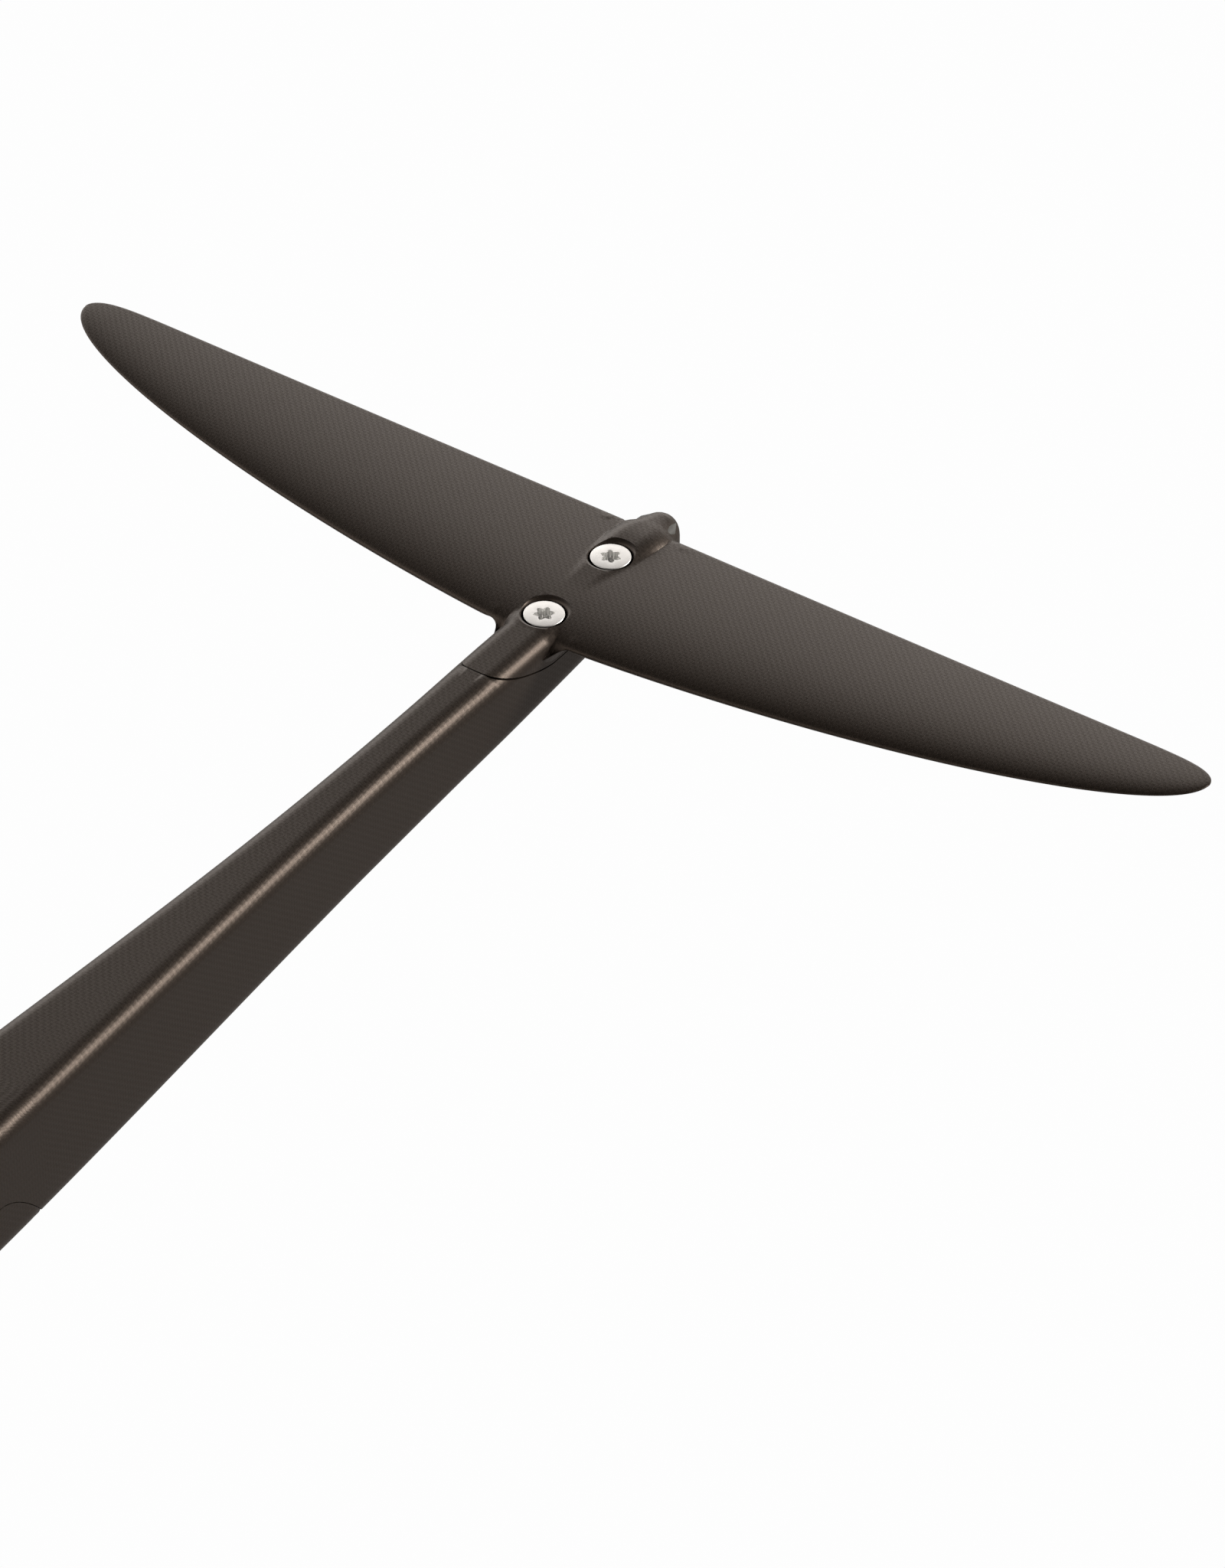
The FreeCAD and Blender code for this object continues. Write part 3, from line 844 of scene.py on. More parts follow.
@dataclass(frozen=True)
class Hull:
    """The outside of the fuselage with both saddles in place."""

    # The tail's rounded end: it narrows, drops and gets rounder corners.
    tail_x: float = -44.0
    tail_rounding: float = 4.0
    tail_slim_start: float = -30.0
    tail_slim_power: float = 2.3
    tail_drop_start: float = -26.0
    tail_drop: float = 2.3
    tail_drop_power: float = 1.35
    tail_corner_start: float = -28.0
    tail_corner_length: float = 12.0
    # The nose.
    nose_x: float = 550.0
    nose_flat: float = 0.02
    nose_length: float = 130.0
    nose_z: float = -21.0
    # Half widths, and where each turns into the next.
    waist: float = 7.6
    tail_half_width: float = 8.0
    main_half_width: float = 18.0
    flare_start: float = 35.0
    flare_length: float = 35.0
    widening_start: float = 75.0
    widening_length: float = 305.0
    # Heights of the top and the underside.
    top_rise: float = 3.4
    rise_start: float = 110.0
    rise_length: float = 220.0
    depth: float = 38.2
    taper_depth: float = 15.9
    taper_start: float = 280.0
    taper_length: float = 266.0
    taper_power: float = 1.7
    # Corners, and the saddles' curved ends.
    top_radius: float = 5.2
    bottom_radius: float = 6.4
    widest_corner: float = 0.8
    fullest_corner: float = 0.97
    least_radius: float = 0.4
    stabiliser_tongue: Tongue = Tongue(46.8, 25.0, 9.4, 1.45)
    front_tongue: Tongue = Tongue(246.5, -19.5, 17.4, 1.7)

    def nose_scale(self, x: float) -> float:
        """How much of the full section is left at x as the nose rounds off."""
        share = clamp((x - (self.nose_x - self.nose_length)) / self.nose_length)
        return math.sqrt(1 - share * share)

    def tail_inset(self, x: float) -> float:
        """How far the rounded tail end is set in at x."""
        return quarter_round(self.tail_x + self.tail_rounding - x, self.tail_rounding)

    def half_width(self, x: float) -> float:
        """Half the width.

        Args:
            x: Where along the fuselage.

        Returns:
            The distance from the middle plane to a side.
        """
        flare = 1 - ease((x - self.flare_start) / self.flare_length)
        widening = ease((x - self.widening_start) / self.widening_length)
        width = mix(self.waist, self.tail_half_width, flare)
        width += (self.main_half_width - self.waist) * widening
        slim = clamp((self.tail_slim_start - x) / (self.tail_slim_start - self.tail_x), 0.0, 0.999)
        return width * self.nose_scale(x) * math.sqrt(1 - slim**self.tail_slim_power)

    def top(self, x: float) -> float:
        """Height of the top.

        Args:
            x: Where along the fuselage.

        Returns:
            The height of the middle of the top.
        """
        rise = self.top_rise * ease((x - self.rise_start) / self.rise_length)
        back = clamp((self.tail_drop_start - x) / (self.tail_drop_start - self.tail_x))
        drop = self.tail_drop * back**self.tail_drop_power + self.tail_inset(x)
        return mix(self.nose_z, rise, self.nose_scale(x)) - drop

    def bottom(self, x: float) -> float:
        """Height of the underside.

        Args:
            x: Where along the fuselage.

        Returns:
            The height of the middle of the underside.
        """
        share = max(self.taper_start - x, 0.0) / self.taper_length
        low = self.taper_depth * share**self.taper_power - self.depth
        return mix(self.nose_z, low, self.nose_scale(x)) + self.tail_inset(x)

    def corner(self, x: float, facing: Facing) -> float:
        """Radius of the corners.

        Args:
            x: Where along the fuselage.
            facing: Up for the upper corners and down for the lower ones.

        Returns:
            The radius, which never quite reaches half the width.
        """
        radius = self.top_radius if facing is Facing.UP else self.bottom_radius
        width = self.half_width(x)
        round_end = ease((self.tail_corner_start - x) / self.tail_corner_length)
        fullest = width * self.fullest_corner
        radius = mix(min(radius, width * self.widest_corner), fullest, round_end)
        return max(min(radius, fullest), self.least_radius)

    def crown(self, x: float, facing: Facing) -> float:
        """Height of the outside of a saddle at x, counted the way it faces."""
        return self.top(x) if facing is Facing.UP else -self.bottom(x)

    def seat(self, x: float, facing: Facing, gap: float = 0.0) -> float:
        """Height of a saddle's seat at x, counted the way it faces.

        Args:
            x: Where along the fuselage.
            facing: Which saddle.
            gap: How much deeper than the joint's own line the surface lies.

        Returns:
            The height.
        """
        if facing is Facing.UP:
            return -self.stabiliser_tongue.drop(x - gap) - gap
        return self.depth - self.front_tongue.drop(x + gap) - gap


# ---- Wings that are moulded in one with a saddle ----


@dataclass(frozen=True)
class WingShape:
    """A lifting surface: its outline seen from above and its section.

    Args:
        half_span: From the middle plane to the tip.
        tip_x: X of the tip.
        front_reach: How far the leading edge lies ahead of the tip, in the middle.
        front_powers: How its sweep grows over the span, and how round its tip is.
        rear_reach: How far the trailing edge lies behind the tip, in the middle.
        rear_narrowing: The share of that reach that is gone towards the tip.
        rear_powers: How the narrowing grows over the span, and how square the tip is.
        thickness_share: Thickness over chord.
        camber_share: Height of the section's arch over its chord.
        trailing_edge: Thickness of the trailing edge.
        centre_z: Height of the chord in the middle.
        tip_rise: How much higher the tip lies.
        edge_rounding: Radius that softens the trailing edge.
        drop_slope: How steeply heights fall beyond the edges.
    """

    half_span: float
    tip_x: float
    front_reach: float
    front_powers: Pair
    rear_reach: float
    rear_narrowing: float
    rear_powers: Pair
    thickness_share: float
    camber_share: float
    trailing_edge: float
    centre_z: float
    tip_rise: float
    edge_rounding: float = 0.7
    drop_slope: float = 1.6

    def front_x(self, y: float) -> float:
        """X of the leading edge.

        Args:
            y: Distance from the middle.

        Returns:
            X at that distance.
        """
        share = clamp(abs(y) / self.half_span)
        span_power, roundness = self.front_powers
        return self.tip_x + self.front_reach * (1 - share**span_power) ** (1 / roundness)

    def rear_x(self, y: float) -> float:
        """X of the trailing edge.

        Args:
            y: Distance from the middle.

        Returns:
            X at that distance.
        """
        share = clamp(abs(y) / self.half_span)
        narrowing_power, tip_power = self.rear_powers
        reach = self.rear_reach * (1 - self.rear_narrowing * share**narrowing_power)
        return self.tip_x - reach * math.sqrt(1 - share**tip_power)

    def mean_z(self, y: float) -> float:
        """Height of the line from leading to trailing edge at a distance y from the middle."""
        return self.centre_z + self.tip_rise * (y / self.half_span) ** 2

    def middle_z(self, x: float, y: float) -> float:
        """Height of the middle of the section's thickness.

        Args:
            x: The place along the chord.
            y: Distance from the middle.

        Returns:
            The height.
        """
        chord = max(self.front_x(y) - self.rear_x(y), 1e-6)
        station = clamp((self.front_x(y) - x) / chord)
        return self.mean_z(y) + 4 * self.camber_share * chord * station * (1 - station)

    def half_thickness(self, x: float, y: float) -> float:
        """Half the section's thickness.

        Args:
            x: The place along the chord.
            y: Distance from the middle.

        Returns:
            Half the thickness, or beyond an edge a negative number that grows with the distance.
        """
        front = self.front_x(y)
        rear = self.rear_x(y)
        if x > front:
            return -self.drop_slope * (x - front)
        if x < rear:
            return -self.drop_slope * (rear - x)
        chord = max(front - rear, 1e-6)
        station = (front - x) / chord
        half = section_half(station) * self.thickness_share * chord + station * self.trailing_edge / 2
        rounding = min(self.edge_rounding, chord / 2)
        into = clamp((rounding - (x - rear)) / rounding)
        return half * math.sqrt(1 - into * into)


@dataclass
class SaddleWing:
    """A wing moulded in one with the saddle that holds it to the fuselage.

    Args:
        name: The first word of its pieces' names.
        shop: The workshop that makes the meshes.
        hull: The fuselage's outside.
        wing: The wing's shape.
        facing: Which way the saddle's outside faces.
        root_half_width: Half the saddle's width where the wing leaves it.
        fillet: Plan radius where the edges run into the saddle's sides.
        blend: Height over which the saddle's shoulder melts into the wing's outside.
        inner_blend: The same on the wing's inside.
        skin: Thickness of the wing's skins.
        rear_end: X of the saddle's rear end.
        front_end: X of its front end.
        side_slope: How steeply heights fall beyond the saddle's sides.
        under_melt: Distance from the edges over which the underside melts into the flared root.
        flange_fillet: Radius where the flared root runs up the saddle's side.
        flange_fillet_run: Distance from the flare's ends over which that radius grows.
        flange_drop: How far the flare sinks below the surface towards mid chord.
        stations: X of each section along the saddle, worked out.
        reaches: Distance of each section of the wing from the saddle's side, worked out.
    """

    name: str
    shop: Workshop
    hull: Hull
    wing: WingShape
    facing: Facing
    root_half_width: float
    fillet: float
    blend: float
    inner_blend: float
    skin: float
    rear_end: float
    front_end: float
    chord_steps: int = 44
    flat_steps: int = 4
    corner_steps: int = 10
    wall_steps: int = 4
    fillet_steps: int = 10
    near_steps: int = 8
    near_length: float = 16.0
    span_steps: int = 56
    side_slope: float = 4.0
    under_melt: float = 6.0
    flange_fillet: float = 2.6
    flange_fillet_run: float = 6.0
    flange_drop: float = 9.0
    flange_start: float = 0.5
    bulge_share: float = 0.95
    bulge_run: float = 0.9
    fade_run: float = 0.6
    meld_height: float = 2.2
    root_tuck: float = 0.3
    stations: list[float] = field(default_factory=list)
    reaches: list[float] = field(default_factory=list)

    def __post_init__(self) -> None:
        """Works out where the sections lie along the saddle and along the wing."""
        root = self.root_half_width
        self.front_root = self.wing.front_x(root) + self.fillet
        self.rear_root = self.wing.rear_x(root) - self.fillet
        rear, front = self.end_runs()
        self.chord_shares = cosine_shares(self.chord_steps)
        chord = [mix(self.rear_root, self.front_root, share) for share in self.chord_shares]
        self.wing_start = len(rear) - 1
        self.stations = rear[:-1] + chord + front[1:]
        fillet = even_run(0.0, self.fillet, self.fillet_steps)
        near = even_run(self.fillet, self.fillet + self.near_length, self.near_steps)
        far = closing_run(near[-1], self.wing.half_span - root, self.span_steps)
        self.reaches = fillet + near[1:] + far[1:]

    def end_runs(self) -> tuple[list[float], list[float]]:
        """Works out the saddle's sections beyond the wing.

        Returns:
            X of those behind the trailing edge, and of those ahead of the leading edge.
        """
        if self.facing is Facing.UP:
            rounded = self.hull.tail_rounding
            corner = closing_run(self.rear_end + rounded, self.rear_end, 8)[::-1]
            rear = corner + even_run(corner[-1], self.rear_root, 4)[1:]
            return rear, closing_run(self.front_root, self.front_end, 26, 1.3)
        rear = closing_run(self.rear_root, self.rear_end, 26, 1.3)[::-1]
        return rear, closing_run(self.front_root, self.front_end, 20)

    # Heights, all counted the way the saddle faces.

    def wing_side(self, x: float, y: float, out: int) -> float:
        """Height of the wing's surface on the outer (1) or inner (-1) side, carried on past its edges."""
        way = self.facing.value
        return way * self.wing.middle_z(x, y) + out * self.wing.half_thickness(x, y)

    def saddle_outside(self, x: float, y: float) -> float:
        """Height of the saddle's outside, which falls steeply beyond its sides.

        Args:
            x: Where along the fuselage.
            y: Distance from the middle.

        Returns:
            The height.
        """
        width = self.hull.half_width(x)
        radius = self.hull.corner(x, self.facing)
        crown = self.hull.crown(x, self.facing)
        beyond = max(abs(y) - width, 0.0)
        return crown - quarter_round(abs(y) - (width - radius), radius) - self.side_slope * beyond

    def outside(self, x: float, y: float) -> float:
        """Height of the whole outside, saddle and wing melted together.

        Args:
            x: Where along the fuselage.
            y: Distance from the middle.

        Returns:
            The height.
        """
        saddle = self.saddle_outside(x, y)
        wing = self.wing_side(x, y, 1)
        crown = self.hull.crown(x, self.facing)
        root_wing = self.wing_side(x, self.root_half_width, 1)
        return soft_max(saddle, wing, self.blend * ease(abs(crown - root_wing) / self.meld_height))

    def inside(self, x: float, y: float) -> float:
        """Height of the inner side: the wing, melted into the foot of the saddle's side.

        Args:
            x: Where along the fuselage.
            y: Distance from the middle.

        Returns:
            The height.
        """
        beyond = max(abs(y) - self.hull.half_width(x), 0.0)
        foot = self.hull.seat(x, self.facing) + self.side_slope * beyond
        return soft_min(foot, self.wing_side(x, y, -1), self.inner_blend)

    def shoulder(self, x: float) -> float:
        """Height where the saddle's rounded shoulder turns into its upright side."""
        return self.hull.crown(x, self.facing) - self.hull.corner(x, self.facing)

    # Places on the wing, by section (reach) and by share of the chord.

    def reach_y(self, x: float, reach: float) -> float:
        """Distance from the middle plane of a point at a reach out from the saddle's side."""
        settled = ease(reach / (self.fillet + self.near_length))
        return mix(self.hull.half_width(x), self.root_half_width, settled) + reach

    def edge(self, reach: float, front: bool) -> Point:
        """A point on the leading or trailing edge, with its flare at the root.

        Args:
            reach: Distance out from the saddle's side.
            front: Whether it is the leading edge.

        Returns:
            The point.
        """
        root_x = self.front_root if front else self.rear_root
        y = self.reach_y(root_x, reach)
        out = clamp(self.fillet - reach, 0.0, self.fillet)
        flare = quarter_round(out, self.fillet)
        plain = self.wing.front_x(y) + flare if front else self.wing.rear_x(y) - flare
        rooted = 1 - ease(reach / self.fillet)
        x = mix(plain, root_x, rooted**4)
        mean = self.facing.value * self.wing.mean_z(y)
        return x, y, mix(mean, self.shoulder(root_x), rooted)

    def wing_point(self, column: int, row: int, out: int, wall: float, tuck: float = 0.0) -> Point:
        """A point of a skin's outer or inner face, in heights counted the way the saddle faces.

        Args:
            column: Section along the chord, from the trailing edge forward.
            row: Section along the span, from the root out.
            out: 1 for the outer skin and -1 for the inner skin.
            wall: 0 for the face that shows, or the skin's thickness for its hidden face.
            tuck: How far the root's own row is set into the saddle.

        Returns:
            The point.
        """
        reach = self.reaches[row]
        share = self.chord_shares[column]
        rear = self.edge(reach, False)
        front = self.edge(reach, True)
        x = mix(rear[0], front[0], share)
        root_x = mix(self.rear_root, self.front_root, share)
        y = self.reach_y(root_x, reach)
        edge_height = mix(rear[2], front[2], share)
        height = self.outside(x, y) if out > 0 else self.inside(x, y)
        way_out = reach / self.fillet
        fade = 1 - ease((way_out - 1) / self.fade_run)
        if column in (0, self.chord_steps):
            height = edge_height
        elif fade > 0:
            plain_x = mix(self.wing.rear_x(y), self.wing.front_x(y), share)
            bulge = self.bulge_share * self.wing.half_thickness(plain_x, y) * ease(way_out / self.bulge_run)
            if out > 0:
                height = self.filleted(root_x, height, edge_height + bulge, fade)
            else:
                low = min(height, edge_height - bulge)
                depth = clamp(min(front[0] - x, x - rear[0]) / self.under_melt)
                melt = 1 - fade * (1 - math.sqrt(1 - (1 - depth) ** 2))
                height = edge_height + (low - edge_height) * melt
        middle = edge_height + self.facing.value * (self.wing.middle_z(x, y) - self.wing.mean_z(y))
        if out > 0:
            height = max(height - wall, middle) if wall else height
        else:
            height = min(height + wall, middle) if wall else height
        return x, y - (tuck if row == 0 else 0.0), height

    def filleted(self, root_x: float, height: float, flange: float, fade: float) -> float:
        """Height of the outside where the flared root runs up the saddle's side.

        Args:
            root_x: X where this section of the chord meets the saddle.
            height: The height without the flare.
            flange: Height of the flare's own surface.
            fade: How strongly the flare counts here.

        Returns:
            The height with the flare.
        """
        inside = min(self.front_root - root_x, root_x - self.rear_root)
        fillet = self.flange_fillet * ease(inside / self.flange_fillet_run) * fade
        drop = self.flange_drop * ease((inside - self.flange_start * self.fillet) / self.fillet)
        return soft_max(height, flange - drop, fillet)

    def root_flange(self, x: float) -> float:
        """Height of the flare where it leaves the saddle's side."""
        share = (x - self.rear_root) / (self.front_root - self.rear_root)
        return mix(self.shoulder(self.rear_root), self.shoulder(self.front_root), share)

    def put(self, x: float, y: float, height: float, side: Side = Side.PORT) -> Point:
        """A point in the fuselage's frame from a height counted the way the saddle faces."""
        return x, y * side.value, height * self.facing.value

    def saddle_across(self, station: int, row: int) -> Point:
        """A point of the saddle's outside.

        Args:
            station: Section along the saddle, from the rear.
            row: Step across it, from starboard over to port.

        Returns:
            The point, with its height counted the way the saddle faces.
        """
        x = self.stations[station]
        steps = self.flat_steps + self.corner_steps
        step = abs(row - steps)
        width = self.hull.half_width(x)
        radius = self.hull.corner(x, self.facing)
        if step <= self.flat_steps:
            y = (width - radius) * step / self.flat_steps
        else:
            lift = (self.hull.seat(x, self.facing) - self.shoulder(x)) / radius
            widest = math.acos(clamp(lift))
            turn = widest * (step - self.flat_steps) / self.corner_steps
            y = width - radius + radius * math.sin(turn)
        height = self.outside(x, y)
        if self.rear_root < x < self.front_root:
            height = self.filleted(x, height, self.root_flange(x), 1.0)
        return x, y if row >= steps else -y, max(height, self.hull.seat(x, self.facing))

    def wall_top(self, station: int, wall: float) -> Point:
        """Where the saddle's side starts.

        Args:
            station: Section along the saddle, from the rear.
            wall: The outer skin's thickness.

        Returns:
            A point below the shoulder, or below the outer skin's hidden face where there is a wing.
        """
        column = station - self.wing_start
        if 0 <= column <= self.chord_steps:
            return self.wing_point(column, 0, 1, wall)
        return self.saddle_across(station, 2 * (self.flat_steps + self.corner_steps))

    def outer_skin(self) -> Mesh:
        """The outer skin with the whole saddle, as one closed mesh.

        Returns:
            The mesh.
        """
        mesh = self.shop.start()
        rows = 2 * (self.flat_steps + self.corner_steps)
        last = len(self.stations) - 1

        def crown(station: int, row: int) -> Placed:
            """A point of the saddle's outside."""
            x, y, height = self.saddle_across(station, row)
            return self.put(x, y, height), (x, y)

        self.shop.sheet(mesh, last, rows, crown)
        for side in Side:

            def face(column: int, row: int, wall: float = 0.0) -> Placed:
                """A point of the outer skin, on its outside unless a wall is given."""
                x, y, height = self.wing_point(column, row, 1, wall)
                return self.put(x, y, height, side), (x, y * side.value)

            def wall(station: int, row: int) -> Placed:
                """A point of the saddle's side."""
                x, y, height = self.wall_top(station, self.skin)
                low = mix(height, self.hull.seat(x, self.facing), row / self.wall_steps)
                return self.put(x, y, low, side), (x, (y + height - low) * side.value)

            self.shop.sheet(mesh, self.chord_steps, len(self.reaches) - 1, face)
            self.shop.sheet(mesh, self.chord_steps, len(self.reaches) - 1, partial(face, wall=self.skin))
            self.shop.sheet(mesh, last, self.wall_steps, wall)

        def seat(station: int, row: int) -> Placed:
            """A point of the seat."""
            x, y, _ = self.saddle_across(station, row)
            return self.put(x, y, self.hull.seat(x, self.facing)), (x, y)

        self.shop.sheet(mesh, last, rows, seat)
        closed_end = 0 if self.facing is Facing.UP else last

        def end(row: int, level: int) -> Placed:
            """A point of the saddle's blunt end."""
            x, y, height = self.saddle_across(closed_end, row)
            low = mix(height, self.hull.seat(x, self.facing), level / self.wall_steps)
            return self.put(x, y, low), (y, low)

        self.shop.sheet(mesh, rows, self.wall_steps, end)
        self.shop.close(mesh)
        return mesh

    def inner_skin(self) -> Mesh:
        """The inner skins of both half wings, each a closed mesh.

        Returns:
            The mesh.
        """
        mesh = self.shop.start()
        rows = len(self.reaches) - 1
        for side in Side:

            def face(column: int, row: int, wall: float = 0.0) -> Placed:
                """A point of the inner skin, on its outside unless a wall is given."""
                x, y, height = self.wing_point(column, row, -1, wall, self.root_tuck)
                return self.put(x, y, height, side), (x, y * side.value)

            def root(column: int, row: int) -> Placed:
                """A point of the wall that closes the root."""
                return face(column, 0, self.skin * row)

            self.shop.sheet(mesh, self.chord_steps, rows, face)
            self.shop.sheet(mesh, self.chord_steps, rows, partial(face, wall=self.skin))
            self.shop.sheet(mesh, self.chord_steps, 1, root)
        self.shop.close(mesh)
        return mesh

    def build(self, outer_node: str, inner_node: str, cutters: list[Mesh]) -> None:
        """Makes both skins, cuts the screw holes and dresses them.

        Args:
            outer_node: The node that the outer skin and saddle replace.
            inner_node: The node that the inner skins replace.
            cutters: The shapes of the screws' countersinks.
        """
        outer = self.shop.raw_object(self.outer_skin(), self.name + "_saddle_skin")
        self.shop.carve(outer, cutters)
        self.shop.finish(outer, CARBON, [outer_node])
        inner = self.shop.raw_object(self.inner_skin(), self.name + "_inner_skin")
        self.shop.finish(inner, CARBON, [inner_node])


STABILISER_SHAPE = WingShape(
    half_span=186.2,
    tip_x=-21.0,
    front_reach=44.0,
    front_powers=(1.285, 1.96),
    rear_reach=12.9,
    rear_narrowing=0.54,
    rear_powers=(1.85, 35.0),
    thickness_share=0.114,
    camber_share=0.0,
    trailing_edge=0.6,
    centre_z=-3.3,
    tip_rise=6.5,
)

FRONT_WING_SHAPE = WingShape(
    half_span=437.8,
    tip_x=405.0,
    front_reach=115.0,
    front_powers=(2.0, 2.0),
    rear_reach=50.0,
    rear_narrowing=0.6,
    rear_powers=(1.8, 14.0),
    thickness_share=0.115,
    camber_share=0.015,
    trailing_edge=0.8,
    centre_z=-37.0,
    tip_rise=-25.0,
)


# ---- Fuselage ----


@dataclass
class Fuselage:
    """The fuselage's two shells, with the seats that both saddles bolt to.

    Args:
        shop: The workshop that makes the meshes.
        hull: The fuselage's outside.
    """

    shop: Workshop
    hull: Hull
    wall: float = 2.0
    tail_gap: float = 0.36
    front_gap: float = 0.12
    socket_height: float = 40.0
    seat_margin: float = 0.02
    seat_depth: float = 0.4
    bottom_steps: int = 4
    low_corner_steps: int = 9
    side_steps: int = 6
    top_corner_steps: int = 12
    top_steps: int = 4

    def rows(self) -> int:
        """Steps round one side, from the middle underneath to the middle on top."""
        return (
            self.bottom_steps
            + self.low_corner_steps
            + self.side_steps
            + self.top_corner_steps
            + self.top_steps
        )

    def limits(self, x: float) -> Pair:
        """How far down and up the fuselage reaches between the saddles' seats.

        Args:
            x: Where along the fuselage.

        Returns:
            The lowest and the highest height.
        """
        low = self.hull.bottom(x)
        high = self.hull.top(x)
        if x < self.hull.stabiliser_tongue.tip_x + self.tail_gap:
            high = min(high, self.hull.seat(x, Facing.UP, self.tail_gap))
        if x > self.hull.front_tongue.tip_x - self.front_gap:
            low = max(low, -self.hull.seat(x, Facing.DOWN, self.front_gap))
        return low, high

    def outline(self, x: float, row: int, inset: float = 0.0) -> Point:
        """A point of the section at x and the length round to it.

        Args:
            x: Where along the fuselage.
            row: Step round from the middle underneath.
            inset: How far inside the surface the point lies.

        Returns:
            The distance from the middle, the height, and the length round from underneath.
        """
        low, high = self.limits(x)
        top_radius = self.hull.corner(x, Facing.UP)
        low_radius = self.hull.corner(x, Facing.DOWN)
        width = self.hull.half_width(x)
        low_centre = self.hull.bottom(x) + low_radius
        top_centre = self.hull.top(x) - top_radius
        low_turn = math.asin(clamp((low_centre - low) / low_radius))
        top_turn = math.asin(clamp((high - top_centre) / top_radius))
        side_low = max(low_centre, low)
        side_high = min(top_centre, high)
        low_edge = width - low_radius + low_radius * math.cos(low_turn)
        top_edge = width - top_radius + top_radius * math.cos(top_turn)
        low_start = low_centre - low_radius * math.sin(low_turn) if low_turn > 0 else low
        top_end = top_centre + top_radius * math.sin(top_turn) if top_turn > 0 else high
        if row <= self.bottom_steps:
            y, z = low_edge * row / self.bottom_steps, low_start
            around = y
        elif row <= self.bottom_steps + self.low_corner_steps:
            share = (row - self.bottom_steps) / self.low_corner_steps
            turn = low_turn * (1 - share)
            y = width - low_radius + low_radius * math.cos(turn)
            z = low_centre - low_radius * math.sin(turn) if low_turn > 0 else low
            around = low_edge + low_radius * (low_turn - turn)
        elif row <= self.rows() - self.top_steps - self.top_corner_steps:
            share = (row - self.bottom_steps - self.low_corner_steps) / self.side_steps
            y, z = width, mix(side_low, side_high, share)
            around = low_edge + low_radius * low_turn + z - side_low
        elif row <= self.rows() - self.top_steps:
            share = 1 - (self.rows() - self.top_steps - row) / self.top_corner_steps
            turn = top_turn * share
            y = width - top_radius + top_radius * math.cos(turn)
            z = top_centre + top_radius * math.sin(turn) if top_turn > 0 else high
            around = low_edge + low_radius * low_turn + side_high - side_low + top_radius * turn
        else:
            share = (self.rows() - row) / self.top_steps
            y, z = top_edge * share, top_end
            around = low_edge + low_radius * low_turn + side_high - side_low
            around += top_radius * top_turn + top_edge - y
        if inset:
            middle = (low + high) / 2
            tall = max((high - low) / 2 - inset, 0.0) / max((high - low) / 2, 1e-6)
            wide = max(width - inset, 0.0) / max(width, 1e-6)
            y, z = y * wide, middle + (z - middle) * tall
        return y, z, around

    def sections(self) -> list[float]:
        """Works out where the sections lie.

        Returns:
            X of each section, closest together where the shape changes quickly.
        """
        hull = self.hull
        tail = closing_run(hull.tail_x + hull.tail_rounding, hull.tail_x, 7)[::-1]
        tip = hull.stabiliser_tongue.tip_x + self.tail_gap
        under_tongue = even_run(tip - hull.stabiliser_tongue.length, tip, 30)
        shank = even_run(tip, hull.front_tongue.tip_x - self.front_gap, 44)
        seat = closing_run(shank[-1] - hull.front_tongue.length, shank[-1], 24, 1.3)[::-1]
        main = even_run(seat[-1], hull.nose_x - hull.nose_length, 22)
        nose_rounds = [math.sin(math.pi / 2 * step / 22) for step in range(1, 22)]
        nose = [main[-1] + hull.nose_length * share for share in nose_rounds] + [hull.nose_x - hull.nose_flat]
        runs = tail + even_run(tail[-1], under_tongue[0], 10)[1:] + under_tongue[1:]
        return runs + shank[1:] + seat[1:] + main[1:] + nose

    def shell(self, side: Side) -> Mesh:
        """Makes one shell: its outside, its inside, the edges in the middle plane and its ends.

        Args:
            side: Which shell.

        Returns:
            The closed mesh.
        """
        mesh = self.shop.start()
        places = self.sections()
        ends = (0, len(places) - 1)

        def outer(station: int, row: int) -> Placed:
            """A point of the outside."""
            x = places[station]
            y, z, around = self.outline(x, row)
            return (x, y * side.value, z), (x, around * side.value)

        def inner(station: int, row: int) -> Placed:
            """A point of the inside, which closes on the middle plane at both ends."""
            x = places[station]
            inside_x = clamp(x, places[0] + self.wall, places[-1] - self.wall)
            y, z, around = self.outline(inside_x, row, self.wall)
            if station in ends:
                inside_x, y, z = x, 0.0, self.outline(x, row)[1]
            return (inside_x, y * side.value, z), (x, around * side.value)

        def rim(station: int, step: int, row: int) -> Placed:
            """A point of an edge between the outside (step 0) and the inside."""
            return outer(station, row) if step == 0 else inner(station, row)

        self.shop.sheet(mesh, len(places) - 1, self.rows(), outer)
        self.shop.sheet(mesh, len(places) - 1, self.rows(), inner)
        for row in (0, self.rows()):
            self.shop.sheet(mesh, len(places) - 1, 1, partial(rim, row=row))
        for end in ends:
            self.shop.sheet(mesh, 1, self.rows(), partial(rim, end))
        self.shop.close(mesh)
        self.mark_seat_shade(mesh)
        return mesh

